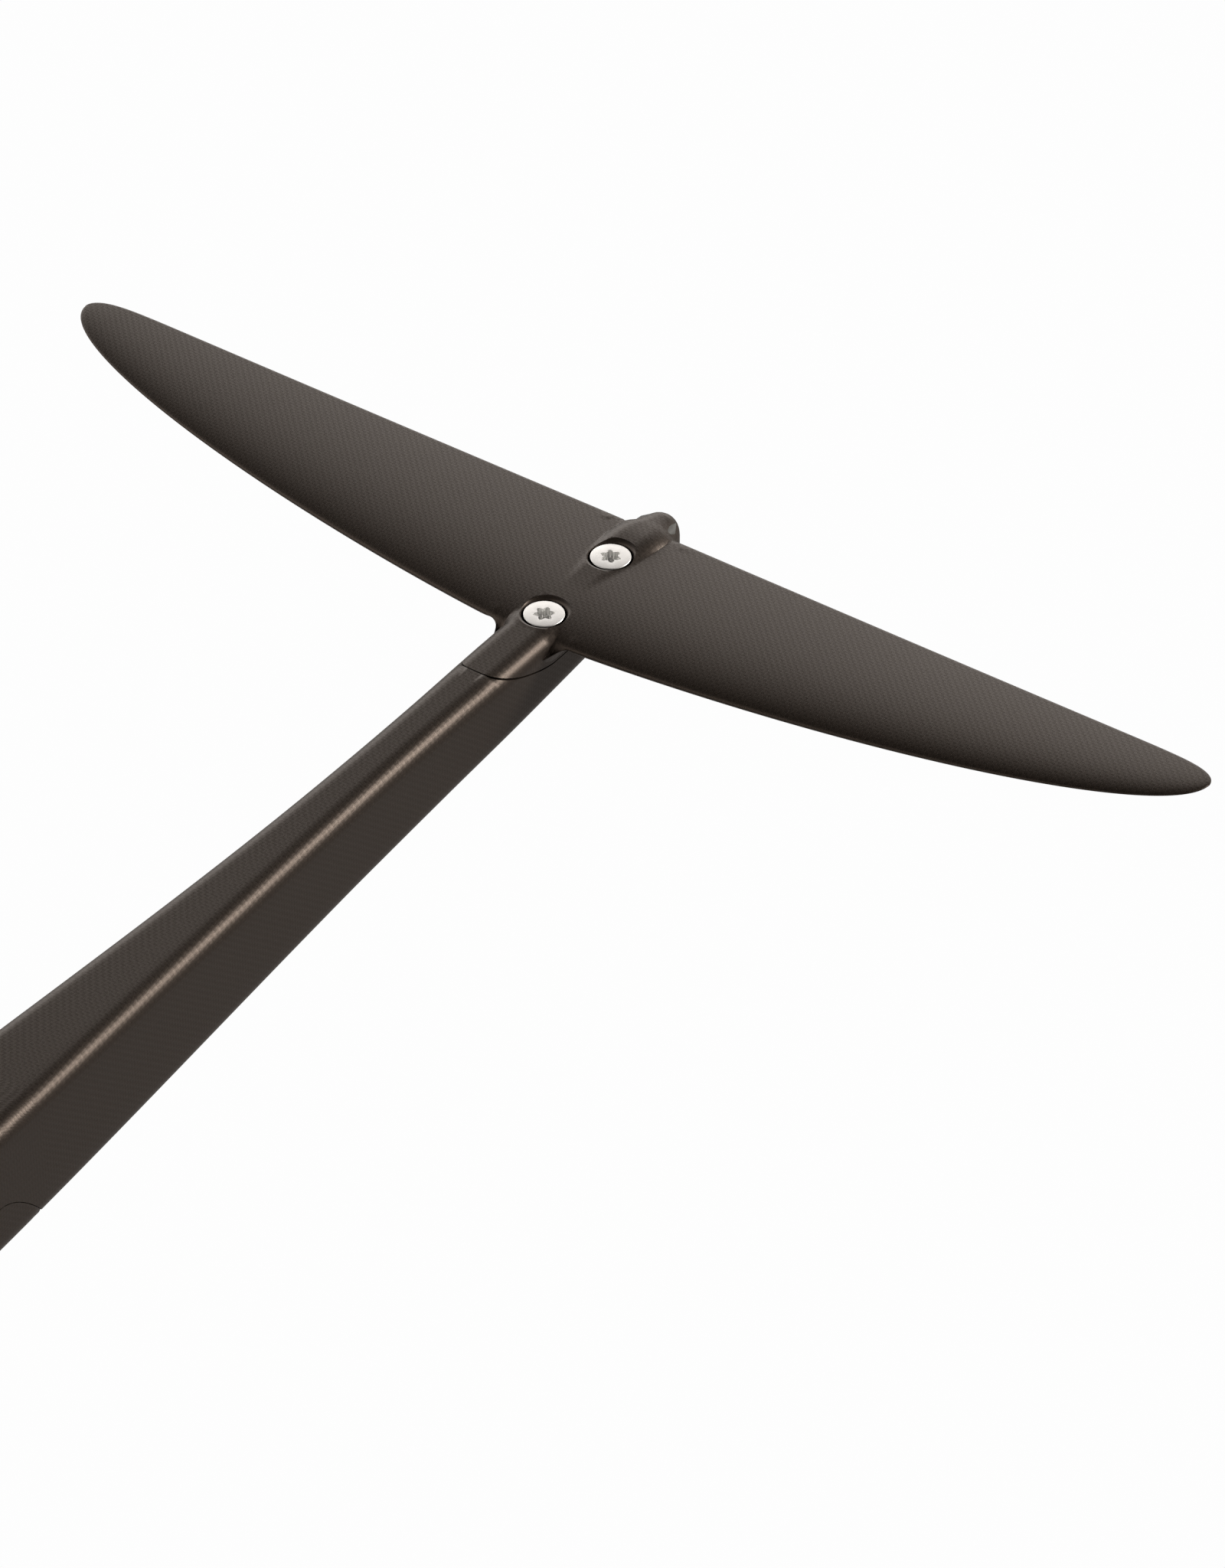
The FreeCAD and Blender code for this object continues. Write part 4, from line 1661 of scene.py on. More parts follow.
    def mark_seat_shade(self, mesh: Mesh) -> None:
        """Gives material number 1, painted shade, to the faces of both seats, which lie deep in the joints.

        Args:
            mesh: The finished shell.
        """
        for face in mesh.faces:
            centre = face.calc_center_median()
            low, high = self.limits(centre.x)
            under_tail = high < self.hull.top(centre.x) - self.seat_margin
            over_front = low > self.hull.bottom(centre.x) + self.seat_margin
            on_tail = under_tail and centre.z > high - self.seat_depth and face.normal.z > 0.5
            on_front = over_front and centre.z < low + self.seat_depth and face.normal.z < -0.5
            face.material_index = 1 if on_tail or on_front else 0

    def build(self, socket: "Mast") -> None:
        """Makes both shells with the socket for the mast's foot, and dresses them.

        Args:
            socket: The mast, which gives the socket's shape.
        """
        for side in Side:
            name = "fuselage_" + side.name.lower()
            shell = self.shop.raw_object(self.shell(side), name + "_moulding")
            cutter = socket.prism(socket.foot_z, socket.foot_z + self.socket_height, socket.fit)
            self.shop.carve(shell, [cutter])
            # Material 1 on the seats is painted shade that darkens the joint gaps.
            self.shop.finish(shell, CARBON, [name + "_shell"], JOINT_SHADE)


# ---- Screws ----


@dataclass(frozen=True)
class CountersunkScrew:
    """A countersunk screw with a six-lobe socket, and the hole it sits in.

    Args:
        radius: Of the shank.
        head_radius: Of the flat face.
        socket_radius: Over the tips of the lobes.
        length: From the flat face to the end.
    """

    radius: float
    head_radius: float
    socket_radius: float
    length: float
    rim: float = 0.35
    face_round: float = 0.22
    hole_clearance: float = 0.45
    shank_clearance: float = 0.2
    lip_radius: float = 1.7
    lip_start: float = 9.0
    lip_steps: int = 9
    lip_land: float = 0.25
    cutter_top: float = 6.0
    turns: int = 56
    lobes: int = 6
    lobe_middle: float = 0.845
    lobe_swing: float = 0.155
    socket_taper: float = 0.12
    socket_start: float = 0.3
    thread_pitch: float = 1.0

    def spun(self, mesh: Mesh, profile: Sequence[Pair], steps: int) -> None:
        """Adds a profile of (radius, height) turned once round the Z axis.

        Args:
            mesh: The mesh that it joins.
            profile: The radius and height of each point.
            steps: Steps round the axis.
        """
        before = set(mesh.verts)
        points = [mesh.verts.new((radius, 0.0, height)) for radius, height in profile]
        edges = [mesh.edges.new(pair) for pair in zip(points, points[1:])]
        bmesh.ops.spin(
            mesh,
            geom=points + edges,
            cent=(0, 0, 0),
            axis=(0, 0, 1),
            angle=math.tau,
            steps=steps,
            use_merge=True,
            use_duplicate=False,
        )
        made = [point for point in mesh.verts if point not in before]
        bmesh.ops.remove_doubles(mesh, verts=made, dist=MERGE_DISTANCE)

    def profile(self) -> list[Pair]:
        """The screw's outside, from the middle of the face to the middle of the tip.

        Returns:
            The radius and height of each point.
        """
        head = self.head_radius
        cone = head - self.radius
        points = [(0.0, 0.0)]
        for step in range(5):
            turn = math.pi / 2 * step / 4
            out = head - self.face_round + self.face_round * math.sin(turn)
            points.append((out, -self.face_round * (1 - math.cos(turn))))
        points.append((head, -self.rim))
        points.append((self.radius, -self.rim - cone))
        z = -self.rim - cone - 1.0
        while z > -self.length + self.thread_pitch:
            points.append((self.radius, z))
            points.append((self.radius * 0.9, z - self.thread_pitch * 0.45))
            z -= self.thread_pitch
        points += [(self.radius, z), (self.radius * 0.75, -self.length), (0.0, -self.length)]
        return points

    def star(self, depth: float) -> Mesh:
        """The six-lobe socket as a closed shape that starts just above the face.

        Args:
            depth: How deep it is.

        Returns:
            The mesh.
        """
        mesh = bmesh.new()
        made = bmesh.ops.create_circle(mesh, cap_ends=True, radius=1.0, segments=self.lobes * 12)
        middle = self.socket_radius * self.lobe_middle
        swing = self.socket_radius * self.lobe_swing
        for point in made["verts"]:
            angle = math.atan2(point.co.y, point.co.x)
            radius = middle + swing * math.cos(self.lobes * angle)
            point.co = (radius * math.cos(angle), radius * math.sin(angle), self.socket_start)
        bottom = bmesh.ops.extrude_face_region(mesh, geom=mesh.faces[:])
        moved = [item for item in bottom["geom"] if isinstance(item, bmesh.types.BMVert)]
        bmesh.ops.translate(mesh, vec=(0, 0, -depth - self.socket_start), verts=moved)
        taper = self.socket_radius * self.socket_taper
        for point in moved:
            point.co -= Vector((point.co.x, point.co.y, 0)).normalized() * taper
        bmesh.ops.recalc_face_normals(mesh, faces=mesh.faces)
        return mesh

    def turned(self, mesh: Mesh, place: Point, facing: Facing, spin: float) -> None:
        """Turns a shape made at the origin the way it faces, and moves it to its place."""
        turn = bmesh.ops.rotate
        if facing is Facing.DOWN:
            turn(mesh, cent=(0, 0, 0), matrix=Matrix.Rotation(math.pi, 3, "X"), verts=mesh.verts)
        turn(mesh, cent=(0, 0, 0), matrix=Matrix.Rotation(spin, 3, "Z"), verts=mesh.verts)
        bmesh.ops.translate(mesh, vec=place, verts=mesh.verts)

    def hole(self, place: Point, facing: Facing) -> Mesh:
        """The countersink with its rounded lip and its through hole, as a closed shape.

        Args:
            place: The middle of the screw's face.
            facing: Which way the face looks.
        """
        wide = self.head_radius + self.hole_clearance
        narrow = self.radius + self.shank_clearance
        mesh = bmesh.new()
        profile = [(0.0, self.cutter_top), (wide + self.lip_radius, self.cutter_top)]
        for turn in map(math.radians, even_run(self.lip_start, 90.0, self.lip_steps)):
            out = wide + self.lip_radius * (1 - math.sin(turn))
            profile.append((out, HEAD_RECESS - self.lip_radius * (1 - math.cos(turn))))
        foot = profile[-1][1] - self.lip_land
        profile += [(wide, foot), (narrow, foot - (wide - narrow))]
        profile += [(narrow, -self.length), (0, -self.length)]
        self.spun(mesh, profile, self.turns)
        bmesh.ops.recalc_face_normals(mesh, faces=mesh.faces)
        self.turned(mesh, place, facing, 0.0)
        return mesh

    def bore(self, place: Point, radius: float, top: float, bottom: float) -> Mesh:
        """A plain upright hole under a screw, as a closed shape.

        Args:
            place: The middle of the screw's face.
            radius: The hole's radius.
            top: Height of its upper end.
            bottom: Height of its lower end.
        """
        mesh = bmesh.new()
        self.spun(mesh, [(0.0, top), (radius, top), (radius, bottom), (0.0, bottom)], self.turns)
        bmesh.ops.recalc_face_normals(mesh, faces=mesh.faces)
        bmesh.ops.translate(mesh, vec=(place[0], place[1], 0.0), verts=mesh.verts)
        return mesh

    def build(
        self,
        shop: Workshop,
        name: str,
        node: str,
        places: Sequence[Point],
        facing: Facing,
        spins: Sequence[float],
    ) -> None:
        """Makes a group of equal screws as one piece.

        Args:
            shop: The workshop that makes the meshes.
            name: The piece's name.
            node: The node that it replaces.
            places: The middle of each screw's face.
            facing: Which way the faces look.
            spins: How far each screw was turned when it was done up, in degrees.
        """
        whole = bmesh.new()
        for place, spin in zip(places, spins):
            one = bmesh.new()
            self.spun(one, self.profile(), self.turns)
            bmesh.ops.recalc_face_normals(one, faces=one.faces)
            self.turned(one, place, facing, math.radians(spin))
            data = bpy.data.meshes.new("screw")
            one.to_mesh(data)
            one.free()
            whole.from_mesh(data)
        piece = shop.raw_object(whole, name)
        cutters = []
        depth = (self.head_radius - self.radius) * 0.95
        for place, spin in zip(places, spins):
            star = self.star(depth)
            self.turned(star, place, facing, math.radians(spin))
            cutters.append(star)
        shop.carve(piece, cutters)
        # The sockets' inner faces get a painted shade.
        self.mark_socket_shade(shop, piece, places, facing)
        shop.finish(piece, SCREW_STEEL, [node], SOCKET_SHADE)

    def mark_socket_shade(
        self, shop: Workshop, piece: bpy.types.Object, places: Sequence[Point], facing: Facing
    ) -> None:
        """Gives material number 1, painted shade, to the faces inside the sockets."""
        for face in piece.data.polygons:
            centre = (face.center - shop.origin) / MM
            for x, y, z in places:
                away = math.hypot(centre.x - x, centre.y - y)
                depth = (z - centre.z) * facing.value
                if away < self.socket_radius * 1.02 and 0.05 < depth < self.head_radius - self.radius:
                    face.material_index = 1


M6 = CountersunkScrew(3.0, 5.65, 3.0, 16.0)
M8_SHORT = CountersunkScrew(4.0, 7.9, 3.9, 30.0, thread_pitch=1.25)
M8_LONG = CountersunkScrew(4.0, 7.9, 3.9, 32.0, thread_pitch=1.25)


# ---- Solid blocks inside the tail ----


@dataclass
class TailBlock:
    """A block of solid laminate that fills the tail below or above the seat.

    Args:
        shop: The workshop that makes the meshes.
        hull: The fuselage's outside.
        node: The node that it replaces.
        front_x: Its front end.
        low: Height of its underside, or nothing where it follows the hull's wall.
        high: Height of its upper face, or nothing where it follows the crown.
    """

    shop: Workshop
    hull: Hull
    node: str
    front_x: float
    low: float | None
    high: float | None
    rear_x: float = -41.0
    wall: float = 2.0
    half_width: float = 6.0
    stations: int = 24
    turns: int = 32

    def section(self, x: float) -> tuple[float, float, float]:
        """Half the width, the middle height and half the height at x."""
        wide = max(min(self.half_width, self.hull.half_width(x) - self.wall), 0.3)
        low = self.hull.bottom(x) + self.wall if self.low is None else self.low
        high = self.hull.top(x) - self.wall if self.high is None else self.high
        return wide, (low + high) / 2, max((high - low) / 2, 0.3)

    def build(self, cutters: list[Mesh]) -> None:
        """Makes the block, cuts its holes and dresses it.

        Args:
            cutters: Closed shapes of the holes.
        """
        mesh = self.shop.start()
        places = even_run(self.rear_x, self.front_x, self.stations)

        def skin(station: int, turn: int) -> Placed:
            """A point of the surface."""
            x = places[station]
            wide, middle, tall = self.section(x)
            angle = math.tau * (turn % self.turns) / self.turns
            across, up = math.cos(angle), math.sin(angle)
            y = wide * math.copysign(math.sqrt(abs(across)), across)
            z = middle + tall * math.copysign(math.sqrt(abs(up)), up)
            return (x, y, z), (x, math.tau * wide * turn / self.turns)

        self.shop.sheet(mesh, self.stations, self.turns, skin)
        for end in (0, self.stations):

            def cap(step: int, turn: int) -> Placed:
                """A point of a closed end."""
                x = places[end]
                middle = (x, 0.0, self.section(x)[1])
                return skin(end, turn) if step == 0 else (middle, (0.0, 0.0))

            self.shop.sheet(mesh, 1, self.turns, cap)
        self.shop.close(mesh)
        block = self.shop.raw_object(mesh, self.node + "_laminate")
        self.shop.carve(block, cutters)
        self.shop.finish(block, LAMINATE, [self.node])


# ---- Mast and board plate ----


@dataclass
class Mast:
    """The mast's two skins, wrapped round its core.

    Args:
        shop: The workshop that makes the meshes.
        x: The middle of its chord.
        foot_z: Height of its lower end, inside the fuselage.
    """

    shop: Workshop
    x: float
    foot_z: float
    length: float = 750.0
    chord: float = 125.0
    thickness: float = 16.0
    skin: float = 2.0
    trailing_edge: float = 1.6
    edge_rounding: float = 1.2
    fit: float = 0.25
    edge_growth: float = 0.6
    steps: int = 44
    screw_stations: Pair = (0.2, 0.5)

    def half_thickness(self, share: float, grow: float = 0.0) -> float:
        """Half the section's thickness at a share of the chord behind the leading edge."""
        edge = (self.trailing_edge / 2 + grow * self.edge_growth) * share
        half = section_half(share) * (self.thickness + 2 * grow) + edge
        rounding = self.edge_rounding / self.chord
        into = clamp((share - (1 - rounding)) / rounding)
        return half * math.sqrt(1 - into * into)

    def outline(self, step: int, grow: float = 0.0) -> Pair:
        """X and distance from the middle plane at a step from the trailing edge forward."""
        share = 1 - cosine_shares(self.steps)[step]
        chord = self.chord + 2 * grow
        return self.x + chord / 2 - share * chord, self.half_thickness(share, grow)

    def screw_xs(self) -> list[float]:
        """X of each screw along the chord."""
        return [self.x + self.chord / 2 - share * self.chord for share in self.screw_stations]

    def tower(self, levels: Sequence[Pair]) -> Mesh:
        """The section drawn up through several levels, as a closed shape.

        Args:
            levels: The height of each and how much the section grows there, from below.

        Returns:
            The mesh.
        """
        mesh = self.shop.start()
        for side in Side:

            def face(step: int, level: int) -> Placed:
                """A point of one side."""
                z, grow = levels[level]
                x, y = self.outline(step, grow)
                return (x, y * side.value, z), (x, z)

            self.shop.sheet(mesh, self.steps, len(levels) - 1, face)
        for z, grow in (levels[0], levels[-1]):

            def cap(step: int, across: int) -> Placed:
                """A point of a closed end."""
                x, y = self.outline(step, grow)
                return (x, y * (1 - 2 * across), z), (x, y)

            self.shop.sheet(mesh, self.steps, 1, cap)
        self.shop.close(mesh)
        return mesh

    def prism(self, low: float, high: float, grow: float = 0.0) -> Mesh:
        """The whole section drawn up from low to high, as a closed shape."""
        return self.tower([(low, grow), (high, grow)])

    def skin_mesh(self, side: Side) -> Mesh:
        """One skin as a closed mesh, thick along its middle and meeting the other at both edges.

        Args:
            side: Which skin.

        Returns:
            The mesh.
        """
        mesh = self.shop.start()
        levels = even_run(self.foot_z, self.foot_z + self.length, 12)

        def outer(step: int, level: int) -> Placed:
            """A point of the outside."""
            x, y = self.outline(step)
            return (x, y * side.value, levels[level]), (levels[level], x)

        def inner(step: int, level: int) -> Placed:
            """A point of the inside."""
            x, y = self.outline(step)
            return (x, max(y - self.skin, 0.0) * side.value, levels[level]), (levels[level], x)

        self.shop.sheet(mesh, self.steps, len(levels) - 1, outer)
        self.shop.sheet(mesh, self.steps, len(levels) - 1, inner)
        for level in (0, len(levels) - 1):

            def cap(step: int, across: int) -> Placed:
                """A point of a closed end."""
                return outer(step, level) if across == 0 else inner(step, level)

            self.shop.sheet(mesh, self.steps, 1, cap)
        self.shop.close(mesh)
        return mesh

    def build(self) -> None:
        """Makes and dresses both skins."""
        for side in Side:
            word = side.name.lower()
            skin = self.shop.raw_object(self.skin_mesh(side), "mast_" + word + "_moulding")
            self.shop.finish(skin, CARBON, ["mast_" + word + "_skin"])


@dataclass
class BoardPlate:
    """The plate that bolts to the board, with a collar round the mast's head.

    Args:
        shop: The workshop that makes the meshes.
        mast: The mast that the collar holds.
        top_z: Height of the plate's face.
    """

    shop: Workshop
    mast: Mast
    top_z: float
    length: float = 184.0
    width: float = 112.0
    thickness: float = 9.0
    corner: float = 14.0
    edge: float = 0.9
    collar_wall: float = 7.0
    flare: float = 5.0
    flare_steps: int = 8
    socket_depth: float = 18.0
    floor: float = 6.0
    spacing: Pair = (165.0, 90.0)
    slot_length: float = 14.0
    slot_radius: float = 4.25

    def body(self) -> Mesh:
        """The flat plate with round corners and softened edges.

        Returns:
            The mesh.
        """
        mesh = self.shop.start()
        bmesh.ops.create_cube(mesh, size=1.0, calc_uvs=True)
        bmesh.ops.scale(mesh, vec=(self.length, self.width, self.thickness), verts=mesh.verts)
        middle = self.top_z - self.thickness / 2
        bmesh.ops.translate(mesh, vec=(self.mast.x, 0, middle), verts=mesh.verts)
        upright = [edge for edge in mesh.edges if abs((edge.verts[0].co - edge.verts[1].co).z) > 1]
        self.bevel(mesh, upright, self.corner, 14)
        rims = [edge for edge in mesh.edges if self.on_rim(edge)]
        self.bevel(mesh, rims, self.edge, 3)
        return mesh

    def on_rim(self, edge: bmesh.types.BMEdge) -> bool:
        """Whether an edge runs round the plate's upper or lower face."""
        level = abs(edge.verts[0].co.z - edge.verts[1].co.z) < 1e-4
        return level and edge.calc_face_angle(0) > 1.0

    def bevel(
        self, mesh: Mesh, edges: list[bmesh.types.BMEdge], size: float, steps: int
    ) -> None:
        """Rounds edges off, from a distance of size on both sides, in a number of steps.

        Args:
            mesh: The mesh that they belong to.
            edges: The edges.
            size: How far back each face is cut.
            steps: Steps of the rounding.
        """
        bmesh.ops.bevel(
            mesh,
            geom=edges,
            offset=size,
            offset_type="OFFSET",
            segments=steps,
            profile=0.5,
            affect="EDGES",
            material=-1,
        )

    def slot(self, x: float, y: float) -> Mesh:
        """One bolt slot, as a closed shape.

        Args:
            x: X of its middle.
            y: Y of its middle.

        Returns:
            The mesh.
        """
        mesh = self.shop.start()
        straight = self.slot_length - 2 * self.slot_radius
        made = bmesh.ops.create_circle(mesh, cap_ends=True, radius=self.slot_radius, segments=40)
        for point in made["verts"]:
            point.co.x += math.copysign(straight / 2, point.co.x)
            point.co.z = -2 * self.thickness
        risen = bmesh.ops.extrude_face_region(mesh, geom=mesh.faces[:])
        moved = [item for item in risen["geom"] if isinstance(item, bmesh.types.BMVert)]
        bmesh.ops.translate(mesh, vec=(0, 0, 4 * self.thickness), verts=moved)
        bmesh.ops.recalc_face_normals(mesh, faces=mesh.faces)
        bmesh.ops.translate(mesh, vec=(x, y, self.top_z), verts=mesh.verts)
        return mesh

    def collar(self) -> Mesh:
        """The collar under the plate, flaring out to meet it, with a rounded lower lip.

        Returns:
            The mesh.
        """
        low = self.top_z - self.floor - self.socket_depth
        high = self.top_z - self.thickness / 2
        under = self.top_z - self.thickness
        levels = [(low, self.collar_wall - 1.2), (low + 0.35, self.collar_wall - 0.45)]
        levels += [(low + 1.2, self.collar_wall), (under - self.flare, self.collar_wall)]
        for step in range(1, self.flare_steps + 1):
            turn = math.pi / 2 * step / self.flare_steps
            drop = self.flare * (1 - math.sin(turn))
            levels.append((under - drop, self.collar_wall + self.flare * (1 - math.cos(turn))))
        levels.append((high, self.collar_wall + self.flare))
        return self.mast.tower(levels)

    def build(self, screw: CountersunkScrew) -> None:
        """Makes the plate with its collar, slots and holes, and dresses it.

        Args:
            screw: The screws that hold the mast.
        """
        plate = self.shop.raw_object(self.body(), "board_plate_body")
        collar = self.shop.raw_object(self.collar(), "collar")
        union = plate.modifiers.new("collar", "BOOLEAN")
        union.operation = "UNION"
        union.solver = "EXACT"
        union.object = collar
        depsgraph = bpy.context.evaluated_depsgraph_get()
        joined = bpy.data.meshes.new_from_object(plate.evaluated_get(depsgraph))
        plate.modifiers.clear()
        plate.data = joined
        bpy.data.objects.remove(collar)
        low = self.top_z - self.floor - self.socket_depth - 5.0
        cutters = [self.mast.prism(low, self.top_z - self.floor, self.mast.fit)]
        for x_side in (-1, 1):
            for y_side in (-1, 1):
                x = self.mast.x + x_side * self.spacing[0] / 2
                cutters.append(self.slot(x, y_side * self.spacing[1] / 2))
        for x in self.mast.screw_xs():
            cutters.append(screw.hole((x, 0.0, self.top_z - HEAD_RECESS), Facing.UP))
        self.shop.carve(plate, cutters)
        self.shop.finish(plate, PLATE_METAL, ["board_plate"])


# ---- Studio ----


@dataclass
class Studio:
    """The floor, the sky, the lights and the camera.

    Args:
        origin: Where the fuselage's own origin lies in the frame, in metres.
    """

    origin: Vector
    eye: Point = (1180.06, 843.99, 1117.77)
    back: Point = (0.63221, 0.44598, 0.63357)
    lens: float = 155.68
    sensor: float = 36.0
    floor_drop: float = 0.9
    floor_size: float = 60.0
    seen_white: float = 0.985
    floor_glow: float = 0.46
    side_glow: tuple[float, ...] = (-0.3, 0.2, 2.9, 0.6)
    low_sky: tuple[Pair, ...] = ((0.0, 1.0), (0.3, 0.9), (0.47, 0.72), (0.634, 0.19))
    high_sky: tuple[Pair, ...] = ((0.78, 0.035), (0.9, 0.02), (1.0, 0.01))

    def camera(self) -> None:
        """The camera, above the port bow and looking at the tail."""
        data = bpy.data.cameras.new("camera")
        data.sensor_fit = "VERTICAL"
        data.sensor_height = self.sensor
        data.sensor_width = self.sensor
        data.lens = self.lens
        data.clip_end = 200.0
        made = placed("camera", data)
        made.location = self.origin + Vector(self.eye) * MM
        made.rotation_mode = "QUATERNION"
        made.rotation_quaternion = (-Vector(self.back)).to_track_quat("-Z", "Y")
        bpy.context.scene.camera = made

    def choice(
        self, tree: NodeTree, share: Socket, *shaders: bpy.types.Node
    ) -> bpy.types.Node:
        """Adds a node that goes from one shader to another.

        Args:
            tree: The tree that holds them.
            share: 0 for the first shader and 1 for the second.
            shaders: The two shaders.

        Returns:
            The node.
        """
        node = add(tree, "MixShader")
        tree.links.new(share, node.inputs[0])
        for shader, socket in zip(shaders, node.inputs[1:]):
            tree.links.new(shader.outputs[0], socket)
        return node

    def floor(self) -> None:
        """A wide pale floor, well below, that looks plain white to the eye and dimmer in gloss."""
        mesh = bmesh.new()
        bmesh.ops.create_grid(mesh, x_segments=1, y_segments=1, size=self.floor_size / 2)
        bmesh.ops.translate(mesh, vec=(0, 0, CAD_BOX[0].z - self.floor_drop), verts=mesh.verts)
        data = bpy.data.meshes.new("floor")
        mesh.to_mesh(data)
        mesh.free()
        made = placed("floor", data)
        data.materials.append(self.floor_material())

    def floor_material(self) -> Material:
        """Even white to the camera, a grey glow to everything else, and clear from below.

        Returns:
            The material.
        """
        material = bpy.data.materials.new("studio_floor")
        material.use_nodes = True
        tree = material.node_tree
        tree.nodes.clear()
        rays = add(tree, "LightPath")
        seen = add(tree, "Emission")
        seen.inputs["Strength"].default_value = self.seen_white
        felt = add(tree, "Emission")
        felt.inputs["Color"].default_value = (1.0, 0.93, 0.88, 1.0)
        felt.inputs["Strength"].default_value = self.floor_glow
        output = add(tree, "OutputMaterial")
        either = self.choice(tree, rays.outputs["Is Camera Ray"], felt, seen)
        place = add(tree, "NewGeometry")
        clear = add(tree, "BsdfTransparent")
        open_below = self.choice(tree, place.outputs["Backfacing"], either, clear)
        tree.links.new(open_below.outputs[0], output.inputs["Surface"])
        return material

    def sky(self) -> None:
        """A pale surround, bright near the horizon and dark overhead."""
        world = bpy.data.worlds.new("studio")
        bpy.context.scene.world = world
        world.use_nodes = True
        tree = world.node_tree
        tree.nodes.clear()
        place = add(tree, "TexCoord")
        split = add(tree, "SeparateXYZ")
        ramp = add(tree, "ValToRGB")
        tree.links.new(place.outputs["Generated"], split.inputs[0])
        tree.links.new(split.outputs["Z"], ramp.inputs["Fac"])
        stops = self.low_sky + self.high_sky
        elements = ramp.color_ramp.elements
        elements[0].position, elements[1].position = stops[0][0], stops[-1][0]
        for position, _ in stops[1:-1]:
            elements.new(position)
        for element, (_, value) in zip(elements, stops):
            element.color = (value, value * 0.95, value * 0.91, 1.0)
        glow = add(tree, "Background")
        tree.links.new(ramp.outputs["Color"], glow.inputs["Color"])
        sides = add(tree, "MapRange")
        sides.interpolation_type = "SMOOTHSTEP"
        for title, number in zip(("From Min", "From Max", "To Min", "To Max"), self.side_glow):
            sides.inputs[title].default_value = number
        tree.links.new(split.outputs["Y"], sides.inputs["Value"])
        tree.links.new(sides.outputs["Result"], glow.inputs["Strength"])
        seen = add(tree, "Background")
        seen.inputs["Strength"].default_value = self.seen_white
        rays = add(tree, "LightPath")
        output = add(tree, "OutputWorld")
        either = self.choice(tree, rays.outputs["Is Camera Ray"], glow, seen)
        tree.links.new(either.outputs[0], output.inputs["Surface"])

    def lamp(self, name: str, towards: Point, distance: float, size: Pair, radiance: float) -> None:
        """A rectangular soft box that looks at the fuselage's tail.

        Args:
            name: The lamp's name.
            towards: Direction from the tail to the lamp.
            distance: How far away it hangs, in metres.
            size: Its width and height in metres.
            radiance: How bright its face is.
        """
        data = bpy.data.lights.new(name, "AREA")
        data.shape = "RECTANGLE"
        data.size, data.size_y = size
        data.energy = radiance * math.pi * size[0] * size[1]
        data.color = (1.0, 0.95, 0.9)
        made = placed(name, data)
        direction = Vector(towards).normalized()
        made.location = self.origin + direction * distance
        made.rotation_mode = "QUATERNION"
        made.rotation_quaternion = direction.to_track_quat("Z", "Y")

    def build(self) -> None:
        """Sets everything up."""
        bpy.context.scene.view_settings.view_transform = "Standard"
        self.camera()
        self.floor()
        self.sky()
        self.lamp("rim_box", (-0.63, 0.65, 0.42), 3.0, (1.1, 0.85), 44.0)


# ---- The whole hydrofoil ----

TAIL_SCREW_XS = (15.5, -15.5)
FRONT_SCREW_XS = (425.0, 455.0, 485.0)
CARRIED_OVER = {
    LAMINATE: [
        "front_anchor_block",
        "front_wing_root_block",
        "front_wing_spar",
        "mast_foot_block",
        "mast_head_block",
        "mast_socket_block",
    ],
    FOAM: ["front_wing_core", "fuselage_foam_core", "mast_core", "stabiliser_core"],
    INSERT_METAL: ["front_thread_inserts", "tail_thread_inserts"],
}


def dress_carried_over() -> None:
    """Gives every node that keeps its own shape its finish."""
    for finish, names in CARRIED_OVER.items():
        for name in names:
            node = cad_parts[name]
            for slot in node.material_slots:
                slot.material = finish.material()
            if not node.material_slots:
                node.data.materials.append(finish.material())


def middle_of(node: str) -> Vector:
    """The middle of a node's box in the fuselage's frame, in millimetres."""
    low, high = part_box(node)
    return ((low + high) / 2 - fuselage_origin()) / MM


def fuselage_origin() -> Vector:
    """Where the fuselage's own origin lies: between the stabiliser screws, on the tail's top."""
    low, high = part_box("stabiliser_screws")
    return Vector(((low.x + high.x) / 2, 0.0, high.z + HEAD_RECESS * MM))


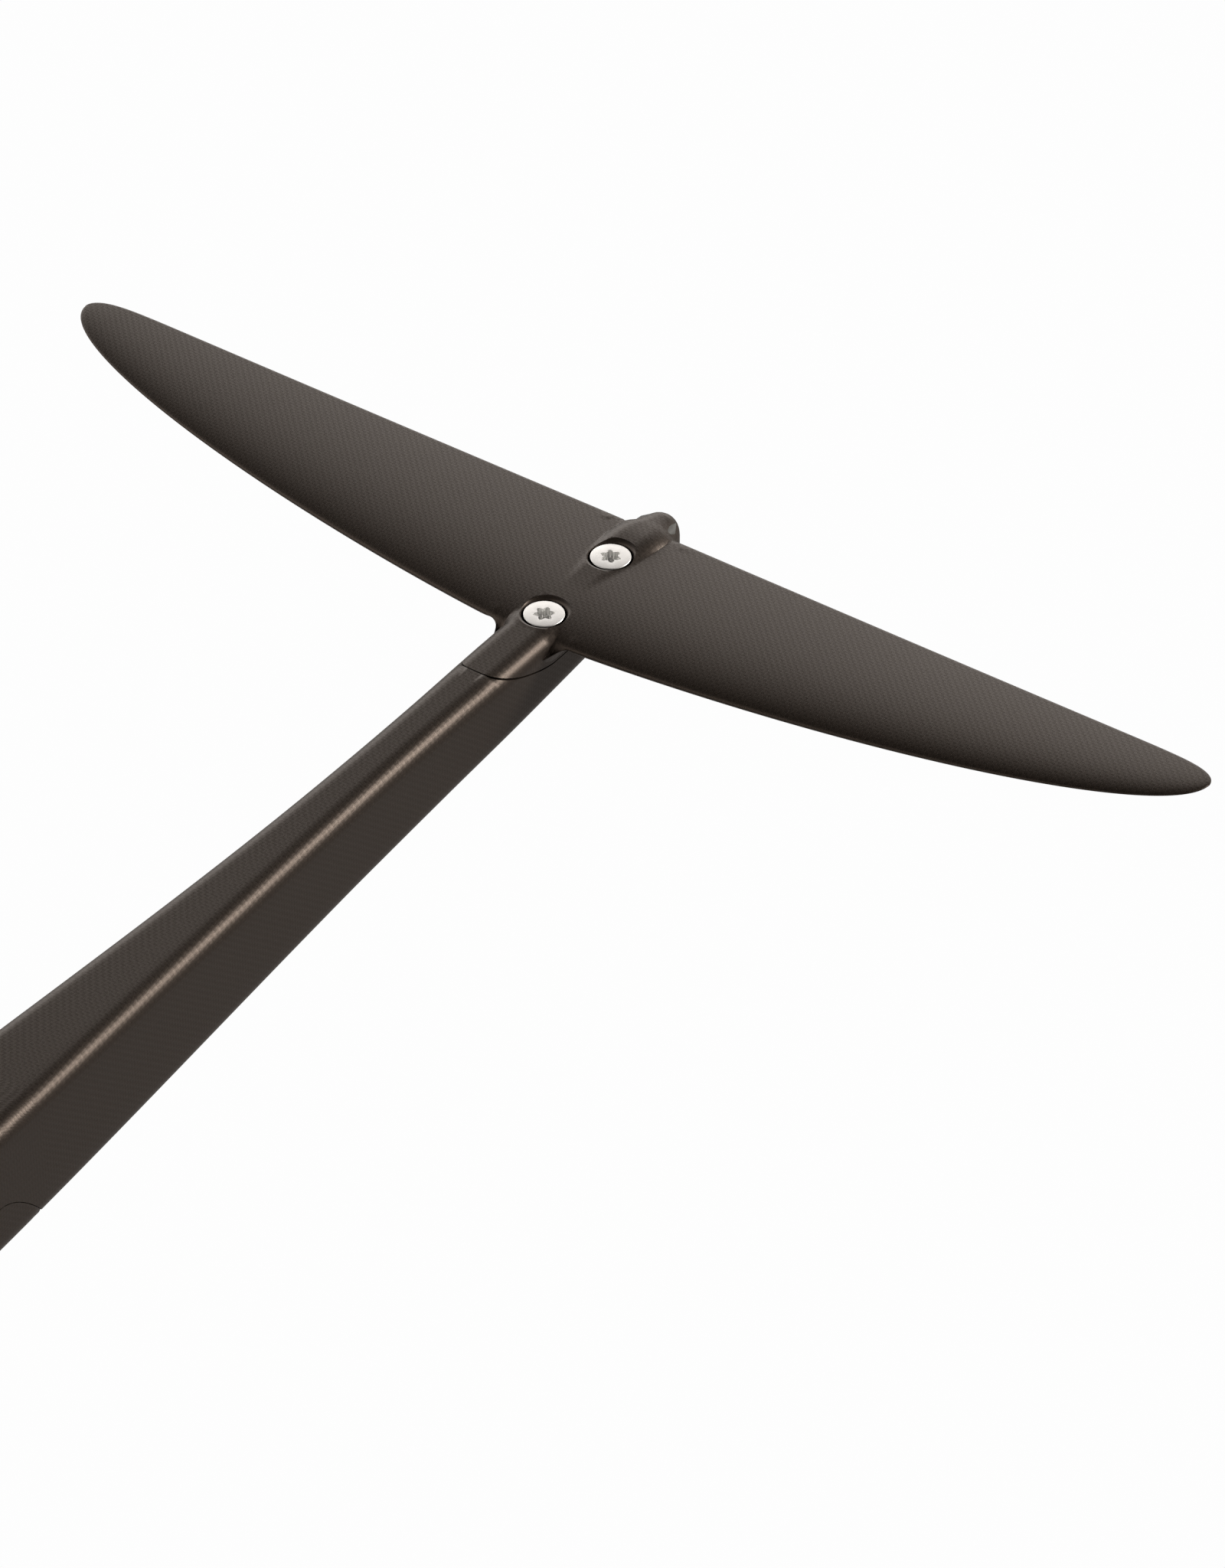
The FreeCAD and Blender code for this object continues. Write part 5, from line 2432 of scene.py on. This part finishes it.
def main() -> None:
    """Builds the studio and every part of the hydrofoil, and reports each piece."""
    logging.basicConfig(level=logging.INFO, format="%(name)s %(message)s")
    origin = fuselage_origin()
    Studio(origin).build()
    shop = Workshop(origin)
    hull = Hull()
    mast_low = (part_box("mast_port_skin")[0].z - origin.z) / MM
    mast = Mast(shop, middle_of("mast_port_skin").x, mast_low)
    mast.build()
    plate_top = (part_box("board_plate")[1].z - origin.z) / MM
    BoardPlate(shop, mast, plate_top).build(M8_SHORT)
    Fuselage(shop, hull).build(mast)
    tail_screws = [(x, 0.0, -HEAD_RECESS) for x in TAIL_SCREW_XS]
    stabiliser = SaddleWing(
        name="stabiliser",
        shop=shop,
        hull=hull,
        wing=STABILISER_SHAPE,
        facing=Facing.UP,
        root_half_width=hull.tail_half_width,
        fillet=4.8,
        blend=3.4,
        inner_blend=2.0,
        skin=0.9,
        rear_end=hull.tail_x,
        front_end=hull.stabiliser_tongue.tip_x,
    )
    holes = [M6.hole(place, Facing.UP) for place in tail_screws]
    stabiliser.build("stabiliser_upper_skin", "stabiliser_lower_skin", holes)
    saddle_block = TailBlock(shop, hull, "stabiliser_root_block", 39.0, -7.4, None, wall=1.0)
    saddle_block.build([M6.hole(place, Facing.UP) for place in tail_screws])
    anchor = TailBlock(shop, hull, "tail_anchor_block", 32.0, None, -10.0)
    anchor.build([M6.bore(place, 4.65, -5.0, -18.0) for place in tail_screws])
    M6.build(shop, "stabiliser_bolts", "stabiliser_screws", tail_screws, Facing.UP, (12, 40))
    front = SaddleWing(
        name="front_wing",
        shop=shop,
        hull=hull,
        wing=FRONT_WING_SHAPE,
        facing=Facing.DOWN,
        root_half_width=hull.main_half_width - 3.0,
        fillet=9.0,
        blend=6.0,
        inner_blend=4.0,
        skin=1.5,
        rear_end=hull.front_tongue.tip_x,
        front_end=hull.nose_x - hull.nose_flat,
    )
    front_screws = [(x, 0.0, HEAD_RECESS - front.outside(x, 0.0)) for x in FRONT_SCREW_XS]
    front_holes = [M8_LONG.hole(place, Facing.DOWN) for place in front_screws]
    front.build("front_wing_lower_skin", "front_wing_upper_skin", front_holes)
    M8_LONG.build(shop, "front_wing_bolts", "front_wing_screws", front_screws, Facing.DOWN, (5, 25, 50))
    foot_z = (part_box("mast_foot_screws")[0].z - origin.z) / MM
    foot_screws = [(x, 0.0, foot_z) for x in mast.screw_xs()]
    M8_SHORT.build(shop, "mast_foot_bolts", "mast_foot_screws", foot_screws, Facing.DOWN, (0, 20))
    plate_screws = [(x, 0.0, plate_top - HEAD_RECESS) for x in mast.screw_xs()]
    M8_SHORT.build(shop, "board_plate_bolts", "board_plate_screws", plate_screws, Facing.UP, (8, 31))
    dress_carried_over()
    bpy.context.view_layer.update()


if __name__ == "__main__":
    main()
